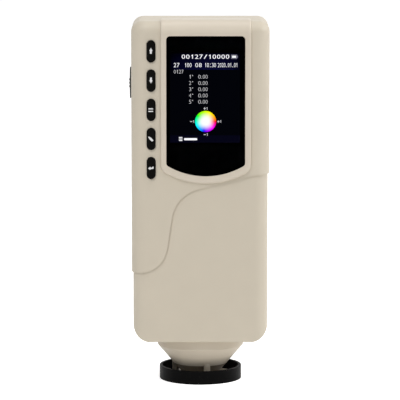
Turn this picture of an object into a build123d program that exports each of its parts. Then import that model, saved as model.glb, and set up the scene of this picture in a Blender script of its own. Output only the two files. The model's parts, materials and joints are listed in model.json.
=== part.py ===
from build123d import *
from math import cos, radians, sin, sqrt, tan
import os

# A hand-held colorimeter standing on its locating ring. All sizes are millimetres.
# The origin is the centre of the ring's underside, where the sample is measured. +Z is up the optical
# axis, +X is the instrument's right as its display is read, and -Y is the way the display faces.

# ---- Driving dimensions: the outer form ----
upper_width = 72.0  # across the upper covers
upper_length = 79.45  # from the seam's right end to the top
seam_drop = 52.05  # from the seam's right end down to its left end
lower_length = 36.8  # from the seam's left end down to the housing's underside
sphere_outer_radius = 19.8  # of the integrating sphere, which the body's depth follows
front_margin = 7.5  # from the sphere to the covers' front
back_margin = 6.4  # from the sphere to the lower housing's back
seam_step = 0.8  # the upper covers stand this proud of the lower housing
grip_swell = 5.0  # the back is this much deeper below than at the top
swell_length = 34.0  # of the part of the back that slopes
front_edge_radius = 7.5
back_edge_radius = 7.0
top_edge_radius = 5.6
bottom_corner_radius = 10.2
bottom_edge_softening = 0.6
corner_lead = 0.05  # the bottom corners meet the sides and the underside at a slight angle
cover_wall = 2.2
housing_wall = 2.2
parting_depth = 19.3  # from the front to the plane between the front and the rear cover
parting_groove_width = 0.2  # of the line round the sides and the top where the covers meet
parting_groove_depth = 0.4
fit_gap = 0.05  # between pieces that seat on each other
slot_gap = 0.3  # around a piece that moves in a slot
overshoot = 1.0  # cuts start and end this far outside what they cut

# ---- The S-shaped seam between the covers and the lower housing, in the XZ plane ----
seam_bend_from_side = 7.6  # the level right part ends this far in from the right side
seam_shoulder_from_side = 23.1  # the sloping part turns down this far in from the left side
seam_shoulder_drop = 11.0  # and this far below the seam's right end
seam_foot_from_side = 16.75  # the steep part turns to the level left part
seam_bend_radius = 80.0
seam_shoulder_radius = 18.0
seam_foot_radius = 15.2
tongue_height = 3.0  # the lower housing reaches this far into the covers
tongue_skirt = 1.4  # thickness of the cover's skirt outside the tongue
tongue_gap = 0.1

# ---- Display bezel and window ----
bezel_left_margin = 15.25  # from the covers' left side
bezel_right_margin = 9.65  # from their right side
bezel_arc_radius = 43.2
bezel_drop = 4.85  # the bezel's lowest point is this far below the seam's right end
bezel_corner_radius = 5.8
bezel_proud = 1.5
bezel_top_proud = 0.9  # and this much over the top edge
bezel_inset = 1.0  # depth of its seat in the front cover
bezel_edge_radius = 1.0
bezel_wrap_gap = 7.0  # the wrap over the top edge ends this far from the parting plane
window_side_margin = 3.1  # between the window and the bezel's side
window_top_margin = 7.4
window_margin_below = 4.0  # between the window's arc and the bezel's arc
window_corner_radius = 2.0
window_foot_radius = 2.0
window_sunk = 0.15
window_thickness = 1.1
window_ledge = 2.0
display_lap = 1.05  # the display is this much wider than the window at each side
display_top_margin = 1.1  # between the display and the window's top
display_rise = 11.3  # between the display and the bezel's lowest point
display_rim = 3.0
gasket_thickness = 0.6
panel_thickness = 1.1
backlight_thickness = 1.5

# ---- Keys ----
key_side_margin = 10.44  # from the covers' left side to the keys' middle
key_top_margin = 15.33  # from the covers' top to the first key's middle
key_pitch = 15.2
key_names = ("key_up", "key_down", "key_equals", "key_edit", "key_back")
key_width = 4.45
key_height = 11.4
key_gap = 0.15  # round a key in its hole
key_proud = 1.2
key_crown_radius = 0.7
key_travel = 0.6
key_flange_lip = 0.8
key_flange_thickness = 0.8
key_mat_thickness = 1.0
key_mat_margin = 0.5  # the mat is this much smaller than the key board all round
key_dome_height = 0.6
key_dome_radius = 2.0
key_board_thickness = 1.0
key_board_width = 11.4
key_board_margin = 0.8
key_board_side_gap = 2.0

# ---- Power slider on the left side ----
slider_offset = 9.0  # behind the parting plane
slider_top_margin = 34.0
slider_length = 16.0
slider_width = 6.8
slider_proud = 1.2  # at its middle
slider_crown = 0.15  # its ends are this much lower
slider_ridge_height = 0.3
slider_ridge_offsets = (1.7, -0.1, -1.9)
slider_ridge_radius = 0.55
slider_travel = 4.0
slider_flange_lip = 1.6
slider_flange_thickness = 0.8
slider_pin_width = 1.6
slider_pin_length = 2.6
switch_body_length = 18.0
switch_body_depth = 4.0
switch_board_width = 10.0

# ---- Measuring button on the back ----
trigger_top_margin = 42.0
trigger_width = 12.0
trigger_height = 20.0
trigger_proud = 2.0
trigger_crown_radius = 1.2
trigger_travel = 1.0
trigger_flange_lip = 1.0
trigger_flange_thickness = 1.0
trigger_stub_radius = 2.0
trigger_stub_length = 0.6
trigger_switch_side = 6.0
trigger_switch_depth = 3.0
trigger_plunger_radius = 1.6
trigger_plunger_length = 0.6
trigger_board_width = 18.0

# ---- Boards and what they carry ----
board_thickness = 1.6
board_gap = 2.1  # between the display and the main board
main_board_left_margin = 12.0  # from the covers' sides
main_board_right_margin = 11.0
main_board_drop = 24.9  # below the seam's right end
main_board_top_margin = 3.2
socket_tab_margin = 3.0
socket_tab_reach = 8.0  # above the USB socket's middle, and below the DC socket's
board_screw_top_gap = 2.6
board_screw_bottom_gap = 5.0
board_screw_seam_gap = 3.5
board_screw_inwards = (9.0, 3.0, 5.0)  # top left, bottom left, and both on the right
board_boss_radius = 2.2
usb_top_margin = 23.8  # from the main board's top
usb_width = 8.9
usb_height = 3.2
usb_length = 7.6
usb_shell = 0.35
usb_tongue_width = 6.6
usb_tongue_thickness = 0.7
usb_tongue_recess = 1.2
usb_back_wall = 1.0
dc_top_margin = 41.8
dc_body_width = 10.0
dc_body_depth = 9.6
dc_body_length = 9.5
dc_nose_radius = 3.9
dc_bore_radius = 3.1
dc_pin_radius = 1.0
dc_bore_depth = 9.0
dc_pin_recess = 1.0
socket_recess = 0.3  # the sockets end this far inside the skin
chips = (  # in from the main board's left edge, down from its top, side and height of each
    (24.0, 38.8, 14.0, 1.4),
    (38.0, 60.8, 9.0, 1.0),
    (10.0, 22.8, 7.0, 1.0),
    (28.0, 14.8, 5.0, 0.9),
)
shield_size = (22.0, 2.6, 16.0)  # X, Y and Z
shield_place = (16.0, 32.0)  # in from the main board's left edge, and up from its bottom
shield_sheet = 0.3
clock_cell_radius = 6.2
clock_cell_height = 2.0
clock_cell_place = (34.0, 18.0)
buzzer_radius = 6.0
buzzer_height = 4.0
buzzer_hole_radius = 1.0
buzzer_hole_depth = 1.0
buzzer_place = (11.0, 15.0)
ribbon_thickness = 0.2
ribbon_width = 10.0
ribbon_drop = 6.0  # the display's ribbon turns back this far below the display

# ---- Screws ----
screw_radius = 1.0
screw_head_radius = 1.9
screw_head_height = 1.4
screw_recess_radius = 0.7
screw_recess_depth = 0.8
screw_gap = 0.05  # radial, in every hole that a screw goes through or into
screw_tip_room = 1.0  # a blind hole is this much deeper than its screw
cover_boss_radius = 3.2
well_boss_radius = 3.9
well_radius = 2.6
screw_side_margin = 7.0  # from the covers' sides
cover_screw_top_margin = 5.6
cover_screw_left_rise = 15.5  # above the seam's left end
cover_screw_right_rise = 8.1  # above its right end
cover_screw_seat = 4.0  # behind the parting plane
cover_screw_length = 12.0
frame_screw_length = 8.0
board_screw_length = 3.6

# ---- Inner frame and battery ----
frame_offset = 13.8  # behind the parting plane
frame_thickness = 2.0
frame_left_margin = 13.0  # from the covers' sides
frame_right_margin = 11.5
frame_clear = 1.4  # above the sphere
frame_rise = 22.1  # above the seam's right end
frame_ear_half = 3.6
frame_screw_rises = (31.5, 19.1)  # above the seam's left end, and above its right end
frame_housing_screw_margin = 7.5
frame_housing_screw_drop = 6.3  # below the seam's left end
bay_right_margin = 12.0
bay_width = 31.0
bay_clear = 3.3  # above the sphere
bay_drop = 8.2  # its top is this far below the seam's shoulder
tray_wall = 1.2
battery_play = 0.5
battery_corner_radius = 2.5
contact_count = 3
contact_width = 2.5
contact_length = 9.0
contact_thickness = 0.3
contact_pitch = 5.0
door_margin = 2.5
door_thickness = 1.25
door_gap = 0.15  # round its edges
door_grip_count = 5
door_grip_pitch = 2.4
door_grip_radius = 0.4
door_grip_width = 14.0
door_grip_drop = 7.5  # the first ridge is this far below the bay's top

# ---- Measuring head, along the Z axis ----
ring_outer_radius = 21.75
ring_wall = 1.47
ring_height = 7.05
ring_lip = 1.2
ring_lip_height = 1.05
ring_rim_radius = 0.2
spoke_width = 5.0
spoke_clear = 0.3  # the spokes stay this far above the sample
plate_thickness = 0.6
plate_gap = 0.1  # between the plate and the ring, and the plate and the posts
plate_window_radii = (12.9, 16.4)
plate_window_angle = 74.0
plate_screw_radius = 0.7
plate_screw_head_radius = 1.4
plate_screw_length = 4.0
plate_screw_sunk = 0.02  # its head stays this far above the sample
post_count = 3
post_angle = 14.6  # the first post, from the front towards +X
post_circle_radius = 13.8
post_radius = 1.75
cone_bottom_z = 8.5
cone_bottom_radius = 14.3
collar_height = 5.2  # of the plain collar between the cone and the housing
head_wall = 2.2
head_flange_thickness = 2.0
head_flange_reach = 2.1  # beyond the collar, to the sides
head_flange_inset = 0.7  # inside the collar, to the front and the back
head_flange_corner_radius = 5.0
head_screw_margins = (4.1, 5.8)  # in from the flange's edges, along X and Y
head_screw_depth = 1.6
tip_radius = 10.6
tip_shoulder_z = 4.3
tip_spigot_radius = 11.4
tip_spigot_height = 2.4
tip_wall = 1.3
tip_face_thickness = 1.2
aperture_radius = 4.0
seal_radius = 0.6
sphere_gap = 0.8  # between the sphere and the collar
sphere_lift = 1.1  # of the sphere's lowest point above the aperture tip's shoulder
sphere_wall = 2.2
sphere_flange_width = 3.5
sphere_flange_thickness = 1.5
sphere_flange_clear = 1.0  # from the housing's front wall
sphere_port_radius = 6.5
sphere_screw_offset = 1.9  # outside the sphere
sphere_screw_count = 4
sphere_screw_angle = 45.0
sphere_screw_radius = 0.6
sphere_screw_head_radius = 1.2
sphere_screw_length = 5.5
led_port_radius = 2.6
led_port_height = 9.0  # above the sphere's middle
led_boss_radius = 4.5
led_boss_proud = 1.4
led_length = 4.6
led_tip_radius = 2.34
led_turns = (0, 180)  # directions about Z that the two lamps shine from
led_board_size = (1.2, 13.0, 15.0)
reference_boss_proud = 0.5
reference_board_side = 9.0
reference_board_thickness = 0.8
view_angle = 8.0  # the lens looks at the sample from this far off the normal
barrel_radius = 6.0
barrel_bore_radius = 4.0
barrel_collar_radius = 9.0
barrel_seat_proud = 0.7  # the barrel's seat is this far outside the sphere
barrel_spigot = 3.4  # and the barrel reaches this far in from its seat
barrel_flange_radius = 8.6
barrel_flange_thickness = 1.5
chamber_offset = 11.4  # from the barrel's seat
chamber_length = 8.0
chamber_radius = 8.5
chamber_bore_radius = 6.8
chamber_floor = 1.5
lens_radius = 4.6
lens_offset = 4.4  # from the barrel's seat
lens_thickness = 2.4
lens_curve_radius = 12.0
sensor_side = 7.0
sensor_height = 1.8
sensor_board_side = 22.0

# ---- Blank rating plate on the back ----
rating_width = 30.0
rating_height = 13.0
rating_top_margin = 19.0  # from the covers' top to its middle
rating_thickness = 0.4
rating_corner_radius = 1.0

# ---- Worked out from the sizes above ----
sphere_centre_z = cone_bottom_z + sphere_lift + sphere_outer_radius
sphere_top_z = sphere_centre_z + sphere_outer_radius
head_flange_top_z = sphere_centre_z - sphere_flange_thickness
housing_floor_z = head_flange_top_z - head_flange_thickness
body_bottom_z = housing_floor_z - housing_wall
seam_left_z = body_bottom_z + lower_length
seam_right_z = seam_left_z + seam_drop
seam_shoulder_z = seam_right_z - seam_shoulder_drop
body_top_z = seam_right_z + upper_length

half_width = upper_width / 2
side_inner_x = half_width - cover_wall
front_skin_y = -sphere_outer_radius - front_margin
cover_inner_y = front_skin_y + cover_wall
parting_y = front_skin_y + parting_depth
housing_back_y = sphere_outer_radius + back_margin
back_skin_y = housing_back_y + seam_step - grip_swell
cover_back_inner_y = back_skin_y - cover_wall
housing_inset = seam_step + housing_wall
housing_front_inner_y = front_skin_y + housing_inset

collar_radius = sphere_outer_radius + sphere_gap + head_wall
cone_top_z = body_bottom_z - collar_height
head_flange_half_x = collar_radius + head_flange_reach
head_flange_half_y = collar_radius - head_flange_inset
sphere_flange_radius = sphere_outer_radius + sphere_flange_width
sphere_screw_circle = sphere_outer_radius + sphere_screw_offset
led_boss_reach = sphere_outer_radius + led_boss_proud
reference_seat_y = sphere_outer_radius + reference_boss_proud
barrel_seat = sphere_top_z + barrel_seat_proud
barrel_start = barrel_seat - barrel_spigot
chamber_start = barrel_seat + chamber_offset
chamber_end = chamber_start + chamber_length
lens_place = barrel_seat + lens_offset
plate_bottom_z = ring_lip_height
plate_top_z = plate_bottom_z + plate_thickness
ring_inner_radius = ring_outer_radius - ring_wall

bezel_width = upper_width - bezel_left_margin - bezel_right_margin
bezel_centre_x = (bezel_left_margin - bezel_right_margin) / 2
bezel_bottom_z = seam_right_z - bezel_drop
bezel_top_end_y = parting_y - bezel_wrap_gap
window_width = bezel_width - 2 * window_side_margin
window_top_z = body_top_z - window_top_margin
display_width = window_width + 2 * display_lap
display_top_z = window_top_z - display_top_margin
display_bottom_z = bezel_bottom_z + display_rise
display_front_y = cover_inner_y + gasket_thickness
backlight_front_y = display_front_y + panel_thickness
display_back_y = backlight_front_y + backlight_thickness

key_centre_x = key_side_margin - half_width
key_top_centre_z = body_top_z - key_top_margin
key_heights = [key_top_centre_z - step * key_pitch for step in range(len(key_names))]
key_flange_back_y = cover_inner_y + fit_gap + key_flange_thickness
key_mat_front_y = key_flange_back_y + key_travel + slot_gap
key_mat_back_y = key_mat_front_y + key_mat_thickness
key_board_front_y = key_mat_back_y + key_dome_height
key_board_back_y = key_board_front_y + key_board_thickness

slider_centre = (parting_y + slider_offset, body_top_z - slider_top_margin)
trigger_centre_z = body_top_z - trigger_top_margin
rating_centre_z = body_top_z - rating_top_margin
screw_head_room = screw_head_radius + slot_gap
switch_board_length = switch_body_length + 4 * screw_head_room
trigger_screw_offset = trigger_height / 2 + trigger_flange_lip + slot_gap + board_boss_radius
trigger_board_length = 2 * (trigger_screw_offset + screw_head_room)

main_board_front_y = display_back_y + board_gap
main_board_back_y = main_board_front_y + board_thickness
main_board_left_x = main_board_left_margin - half_width
main_board_right_x = half_width - main_board_right_margin
main_board_bottom_z = seam_right_z - main_board_drop
main_board_top_z = body_top_z - main_board_top_margin
usb_centre_z = main_board_top_z - usb_top_margin
dc_centre_z = main_board_top_z - dc_top_margin
socket_tab_right_x = half_width - socket_tab_margin
socket_tab_z = (dc_centre_z - socket_tab_reach, usb_centre_z + socket_tab_reach)
board_screws_top_z = main_board_top_z - board_screw_top_gap
main_board_screws = (
    (main_board_left_x + board_screw_inwards[0], board_screws_top_z),
    (main_board_left_x + board_screw_inwards[1], main_board_bottom_z + board_screw_bottom_gap),
    (main_board_right_x - board_screw_inwards[2], board_screws_top_z),
    (main_board_right_x - board_screw_inwards[2], seam_right_z + board_screw_seam_gap),
)
shield_centre = (main_board_left_x + shield_place[0], main_board_bottom_z + shield_place[1])
clock_cell_centre = (main_board_left_x + clock_cell_place[0], main_board_bottom_z + clock_cell_place[1])
buzzer_centre = (main_board_left_x + buzzer_place[0], main_board_bottom_z + buzzer_place[1])

side_screw_x = half_width - screw_side_margin
cover_screw_top_z = body_top_z - cover_screw_top_margin
cover_screw_places = (
    (-side_screw_x, cover_screw_top_z),
    (-side_screw_x, seam_left_z + cover_screw_left_rise),
    (side_screw_x, cover_screw_top_z),
    (side_screw_x, seam_right_z + cover_screw_right_rise),
)
cover_screw_seat_y = parting_y + cover_screw_seat
frame_front_y = parting_y + frame_offset
frame_side_x = (frame_left_margin - half_width, half_width - frame_right_margin)
frame_bottom_z = sphere_top_z + frame_clear
frame_top_z = seam_right_z + frame_rise
frame_cover_places = (
    (-side_screw_x, seam_left_z + frame_screw_rises[0]),
    (side_screw_x, seam_right_z + frame_screw_rises[1]),
)
housing_screw_x = half_width - frame_housing_screw_margin
housing_screw_z = seam_left_z - frame_housing_screw_drop
frame_housing_places = ((-housing_screw_x, housing_screw_z), (housing_screw_x, housing_screw_z))
tray_front_y = frame_front_y + frame_thickness
bay_left_x = half_width - bay_right_margin - bay_width
bay_bottom_z = sphere_top_z + bay_clear
bay_top_z = seam_shoulder_z - bay_drop
swell_start_z = bay_top_z + door_margin
swell_end_z = swell_start_z + swell_length

far = 200.0  # longer than the instrument, for cuts that go right through
view_direction = (0, -sin(radians(view_angle)), cos(radians(view_angle)))
lens_axis = Plane(origin=(0, 0, 0), x_dir=(1, 0, 0), z_dir=view_direction)


# ---- Simple solids ----
def block(x_span, y_span, z_span):
    """A box between two corners, given as spans along X, Y and Z."""
    lows = [min(span) for span in (x_span, y_span, z_span)]
    sizes = [abs(span[1] - span[0]) for span in (x_span, y_span, z_span)]
    return Pos(*lows) * Box(*sizes, align=(Align.MIN, Align.MIN, Align.MIN))


def rod_x(centre, radius, x_span):
    """A cylinder along X, at a centre given as Y and Z."""
    plane = Plane(origin=(min(x_span), centre[0], centre[1]), x_dir=(0, 1, 0), z_dir=(1, 0, 0))
    length = abs(x_span[1] - x_span[0])
    return plane * Cylinder(radius, length, align=(Align.CENTER, Align.CENTER, Align.MIN))


def rod_y(centre, radius, y_span):
    """A cylinder along Y, at a centre given as X and Z."""
    plane = Plane(origin=(centre[0], min(y_span), centre[1]), x_dir=(1, 0, 0), z_dir=(0, 1, 0))
    length = abs(y_span[1] - y_span[0])
    return plane * Cylinder(radius, length, align=(Align.CENTER, Align.CENTER, Align.MIN))


def rod_z(centre, radius, z_span):
    """A cylinder along Z, at a centre given as X and Y."""
    length = abs(z_span[1] - z_span[0])
    place = Pos(centre[0], centre[1], min(z_span))
    return place * Cylinder(radius, length, align=(Align.CENTER, Align.CENTER, Align.MIN))


def lens_rod(radius, span):
    """A cylinder along the lens axis, between two distances from the sample."""
    bar = Cylinder(radius, span[1] - span[0], align=(Align.CENTER, Align.CENTER, Align.MIN))
    return lens_axis * (Pos(0, 0, span[0]) * bar)


def turned(points):
    """A solid of revolution about Z from a closed outline of radius and height pairs."""
    outline = make_face(Polyline(*[(radius, 0, height) for radius, height in points], close=True))
    return revolve(outline, Axis.Z)


def through_y(face, y_span):
    """A face drawn in X and Z, made into a solid between two values of Y."""
    depth = abs(y_span[1] - y_span[0])
    return Pos(0, max(y_span), 0) * extrude(Plane.XZ * face, depth)


def stadium(centre, width, height, grow=0.0):
    """An upright slot-shaped face in X and Z, with round ends."""
    slot = SlotOverall(height + 2 * grow, width + 2 * grow, rotation=90)
    return Pos(centre[0], centre[1]) * slot


def group(pieces):
    """Separate solids that share one node."""
    return Compound(children=list(pieces))


# ---- Screws: the head's seat is at the given point, and the shank goes along the direction ----
def screw(seat, direction, length, radius=screw_radius, head_radius=screw_head_radius):
    """A pan-head screw with a round drive recess."""
    axis = Plane(origin=seat, z_dir=direction)
    above = (Align.CENTER, Align.CENTER, Align.MIN)
    below = (Align.CENTER, Align.CENTER, Align.MAX)
    shank = Cylinder(radius, length, align=above)
    head = Cylinder(head_radius, screw_head_height, align=below)
    recess = Cylinder(screw_recess_radius, screw_recess_depth, align=below)
    return axis * (shank + head - Pos(0, 0, screw_recess_depth - screw_head_height) * recess)


# ---- The outer form, and the seam that divides it ----
def housing_form(inset):
    """The covers' outer form as one solid, with every skin moved inwards by the inset."""
    half = half_width - inset
    front = front_skin_y + inset
    top = body_top_z - inset
    bottom = body_bottom_z - seam_step + inset
    back = back_skin_y - inset
    back_below = back + grip_swell
    sides = Polyline((back, swell_end_z), (back, top), (front, top), (front, bottom))
    base = Polyline((front, bottom), (back_below, bottom), (back_below, swell_start_z))
    swell = Spline(
        (back_below, swell_start_z), (back, swell_end_z), tangents=((0, 1), (0, 1))
    )
    profile = make_face([*sides.edges(), *base.edges(), swell])
    form = extrude(Plane.YZ * profile, half, both=True)
    form = fillet(upright_edges(form, -1, front), front_edge_radius - inset)
    form = fillet(upright_edges(form, 1, back), back_edge_radius - inset)
    form = fillet(form.edges().group_by(Axis.Z)[-1], top_edge_radius - inset)
    corner = bottom_corner_radius - inset
    for side in (-1, 1):
        square_x = (side * (half - corner), side * (half + overshoot))
        square = block(square_x, (-far, far), (bottom - overshoot, bottom + corner))
        arc_centre = (side * (half - corner + corner_lead), bottom + corner - corner_lead)
        form -= square - rod_y(arc_centre, corner, (-far, far))
    return form


def upright_edges(form, side, skin_y):
    """The form's edges that run up it in the front or the back corners: side is -1 or 1."""
    at_skin = [edge for edge in form.edges() if side * (edge.center().Y - skin_y) > -overshoot]
    return [edge for edge in at_skin if abs((edge % 0.5).Z) > abs((edge % 0.5).Y)]


def below_seam(rise):
    """Everything under the seam line, moved out from the seam by the rise."""
    line = FilletPolyline(
        (far, seam_right_z),
        (half_width - seam_bend_from_side, seam_right_z),
        (seam_shoulder_from_side - half_width, seam_shoulder_z),
        (seam_foot_from_side - half_width, seam_left_z),
        (-far, seam_left_z),
        radius=[seam_bend_radius, seam_shoulder_radius, seam_foot_radius],
    )
    under = Polyline((-far, seam_left_z), (-far, -far), (far, -far), (far, seam_right_z))
    face = make_face([*line.edges(), *under.edges()])
    if rise:
        face = offset(face, rise)
    return through_y(face, (-far, far))


# ---- Lower housing ----
def lower_housing():
    """The tub below the seam, with a tongue that the covers close round."""
    inner = housing_form(housing_inset)
    skin = (housing_form(seam_step) - inner) & below_seam(-fit_gap)
    skin = fillet(skin.edges().group_by(Axis.Z)[0], bottom_edge_softening)
    tongue_skin = tongue_skirt + tongue_gap
    tongue = (housing_form(tongue_skin) - inner) & below_seam(tongue_height)
    tongue -= block((-far, far), (-far, far), (-far, seam_left_z - tongue_height))
    housing = skin + tongue
    for x, z in frame_housing_places:
        boss_y = (housing_front_inner_y - fit_gap, frame_front_y - fit_gap)
        housing += rod_y((x, z), cover_boss_radius, boss_y)
        housing -= screw_hole_y((x, z), frame_front_y, frame_screw_length)
    housing -= rod_z((0, 0), collar_radius + fit_gap, (0, housing_floor_z + overshoot))
    for x, y in head_screw_spots():
        hole_z = (housing_floor_z - head_screw_depth, housing_floor_z + overshoot)
        housing -= rod_z((x, y), screw_radius + screw_gap, hole_z)
    housing -= bay_opening(0, (tray_front_y, far))
    return housing - door_space(door_gap, fit_gap)


def screw_hole_y(place, mouth_y, depth):
    """A blind hole along Y for a screw that comes in from behind."""
    return rod_y(place, screw_radius + screw_gap, (mouth_y - depth - screw_tip_room, mouth_y + overshoot))


def bay_opening(grow, y_span):
    """The battery bay's outline, grown all round, between two values of Y."""
    x_span = (bay_left_x - grow, bay_left_x + bay_width + grow)
    z_span = (bay_bottom_z - grow, bay_top_z + grow)
    return block(x_span, y_span, z_span)


def door_space(edge_gap, seat_gap):
    """The room for the battery door, down to the housing's lower edge, with gaps round it and in front of it."""
    x_span = (bay_left_x - door_margin - edge_gap, bay_left_x + bay_width + door_margin + edge_gap)
    z_span = (0, bay_top_z + door_margin + edge_gap)
    return block(x_span, (housing_back_y - door_thickness - seat_gap, far), z_span)


def battery_door():
    """The sliding door on the back, with ridges for the thumb."""
    door = door_space(0, 0) & housing_form(seam_step)
    centre_x = bay_left_x + bay_width / 2
    grip_x = (centre_x - door_grip_width / 2, centre_x + door_grip_width / 2)
    for step in range(door_grip_count):
        z = bay_top_z - door_grip_drop - step * door_grip_pitch
        door += rod_x((housing_back_y, z), door_grip_radius, grip_x)
    return door


# ---- Upper covers ----
def cover_shell():
    """Both covers as one shell above the seam, with a skirt over the housing's tongue."""
    shell = housing_form(0) - housing_form(cover_wall) - below_seam(0)
    return shell - (housing_form(tongue_skirt) & below_seam(tongue_height + tongue_gap))


def arched_panel(half, radius, top_z, y_span, foot_radius):
    """A panel with straight sides, a level top and an arc below, with rounded lower corners."""
    centre_z = bezel_bottom_z + bezel_arc_radius
    foot_z = centre_z - sqrt(radius**2 - half**2)
    left = bezel_centre_x - half
    right = bezel_centre_x + half
    arc = ThreePointArc((left, foot_z), (bezel_centre_x, centre_z - radius), (right, foot_z))
    sides = Polyline((right, foot_z), (right, top_z), (left, top_z), (left, foot_z))
    panel = through_y(make_face([arc, *sides.edges()]), y_span)
    feet = panel.edges().filter_by(Axis.Y).group_by(Axis.Z)[0]
    return fillet(feet, foot_radius)


def bezel_panel(grow, y_span):
    """The bezel's outline as a solid, grown all round. It runs up past the top edge."""
    half = bezel_width / 2 + grow
    return arched_panel(half, bezel_arc_radius + grow, far, y_span, bezel_corner_radius + grow)


def window_panel(grow, y_span, top_radius=window_corner_radius):
    """The window's outline as a solid, grown all round."""
    half = window_width / 2 + grow
    radius = bezel_arc_radius - window_margin_below + grow
    panel = arched_panel(half, radius, window_top_z + grow, y_span, window_foot_radius)
    tops = panel.edges().filter_by(Axis.Y).group_by(Axis.Z)[-1]
    return fillet(tops, top_radius)


def bezel_layer(grow, inner_inset):
    """The bezel's share of the skin, from its proud face in to an inset, grown all round."""
    proud_form = Pos(0, 0, bezel_top_proud - bezel_proud) * housing_form(-bezel_proud)
    layer = proud_form - housing_form(inner_inset)
    return layer & bezel_panel(grow, (-far, bezel_top_end_y + grow))


def front_cover():
    """The cover round the display and the keys."""
    cover = cover_shell() & block((-far, far), (-far, parting_y), (-far, far))
    groove = block((-far, far), (parting_y - parting_groove_width, far), (-far, far))
    cover -= groove - housing_form(parting_groove_depth)
    cover -= bezel_layer(fit_gap, bezel_inset + fit_gap)
    cover -= through_y(display_opening(0), (-far, parting_y))
    for z in key_heights:
        hole = stadium((key_centre_x, z), key_width, key_height, key_gap)
        cover -= through_y(hole, (-far, parting_y))
    for place in cover_screw_places:
        cover += cover_boss(place, parting_y - fit_gap, cover_boss_radius)
        cover -= screw_hole_y(place, parting_y, cover_screw_length)
    for place in frame_cover_places:
        cover += cover_boss(place, frame_front_y - fit_gap, cover_boss_radius)
        cover -= screw_hole_y(place, frame_front_y, frame_screw_length)
    for place in main_board_screws:
        cover += cover_boss(place, main_board_front_y - fit_gap, board_boss_radius)
        cover -= screw_hole_y(place, main_board_front_y, board_screw_length - board_thickness)
    return cover - socket_openings()


def cover_boss(place, end_y, radius):
    """A round boss from the front cover's inner face, back to the given Y."""
    return rod_y(place, radius, (cover_inner_y - fit_gap, end_y))


def display_opening(grow):
    """The hole in the cover that the display is seen through."""
    low = display_bottom_z + display_rim - grow
    high = display_top_z - display_rim + grow
    width = display_width - 2 * display_rim + 2 * grow
    return Pos(bezel_centre_x, (low + high) / 2) * Rectangle(width, high - low)


def socket_openings():
    """Holes in the right side for the USB plug and the DC plug."""
    usb = SlotOverall(usb_width + 2 * slot_gap, usb_height + 2 * slot_gap, rotation=90)
    usb_plane = Plane(origin=(side_inner_x - overshoot, 0, 0), x_dir=(0, 1, 0), z_dir=(1, 0, 0))
    hole = extrude(usb_plane * (Pos(usb_centre_y(), usb_centre_z) * usb), cover_wall + 2 * overshoot)
    nose_x = (side_inner_x - overshoot, half_width + overshoot)
    nose = rod_x((dc_centre_y(), dc_centre_z), dc_nose_radius + fit_gap, nose_x)
    return hole + nose


def usb_centre_y():
    """The USB socket's middle, standing on the back of the main board."""
    return main_board_back_y + usb_height / 2


def dc_centre_y():
    """The DC socket's middle, standing on the back of the main board."""
    return main_board_back_y + dc_body_depth / 2


def rear_cover():
    """The cover at the back, with screw wells, the trigger and the power slider's slot."""
    cover = cover_shell() & block((-far, far), (parting_y + fit_gap, far), (-far, far))
    well_end = parting_y + fit_gap
    inside = housing_form(cover_wall - fit_gap)
    for place in cover_screw_places:
        cover += rod_y(place, well_boss_radius, (well_end, far)) & inside
        cover -= rod_y(place, well_radius, (cover_screw_seat_y, far))
        cover -= rod_y(place, screw_radius + screw_gap, (well_end - overshoot, far))
    hole = stadium((0, trigger_centre_z), trigger_width, trigger_height, slot_gap)
    cover -= through_y(hole, (cover_back_inner_y - overshoot, far))
    for side in (-1, 1):
        place = (0, trigger_centre_z + side * trigger_screw_offset)
        cover += rod_y(place, board_boss_radius, (trigger_board_back_y(), far)) & inside
        cover -= rod_y(place, screw_radius + screw_gap, (0, trigger_board_back_y() + board_screw_length))
    cover += switch_fin() & inside
    hole_x = (switch_board_right_x() - overshoot, switch_board_right_x() + board_screw_length)
    for side in (-1, 1):
        cover -= rod_x(switch_screw_place(side), screw_radius + screw_gap, hole_x)
    return cover - slider_slot() - rating_seat()


def slider_slot():
    """The slot in the left side that the power slider travels in."""
    y, z = slider_centre
    slot_y = (y - slider_width / 2 - slot_gap, y + slider_width / 2 + slot_gap)
    slot_z = (z - slider_length / 2 - slider_travel - slot_gap, z + slider_length / 2 + slot_gap)
    return block((-half_width - overshoot, -side_inner_x + overshoot), slot_y, slot_z)


def rating_outline(grow):
    """The rating plate's outline in X and Z, grown all round."""
    sheet = RectangleRounded(rating_width + 2 * grow, rating_height + 2 * grow, rating_corner_radius + grow)
    return Pos(0, rating_centre_z) * sheet


def rating_seat():
    """The shallow seat of the rating plate."""
    return through_y(rating_outline(fit_gap), (back_skin_y - rating_thickness, far))


def rating_plate():
    """A bare plate, let in flush with the back."""
    return through_y(rating_outline(0), (back_skin_y - rating_thickness, back_skin_y))


# ---- Display ----
def display_bezel():
    """The raised surround, which wraps over the top edge and holds the window."""
    bezel = bezel_layer(0, bezel_inset)
    front = bezel.faces().sort_by(Axis.Y)[0]
    rim = [edge for edge in front.outer_wire().edges() if edge.center().Z < window_top_z]
    bezel = fillet(rim, bezel_edge_radius)
    window_back = front_skin_y - bezel_proud + window_sunk + window_thickness + fit_gap
    bezel -= window_panel(fit_gap, (-far, window_back))
    return bezel - window_panel(-window_ledge, (-far, parting_y), window_foot_radius)


def display_window():
    """The glass over the display."""
    front = front_skin_y - bezel_proud + window_sunk
    return window_panel(0, (front, front + window_thickness))


def display_layer(y_span, rim=0.0):
    """A rectangular layer of the display stack, as wide as the display."""
    half = display_width / 2 - rim
    x_span = (bezel_centre_x - half, bezel_centre_x + half)
    return block(x_span, y_span, (display_bottom_z + rim, display_top_z - rim))


def display_gasket():
    """A soft frame between the display and the cover."""
    span = (cover_inner_y + fit_gap, display_front_y)
    return display_layer(span) - display_layer((-far, far), display_rim)


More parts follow.
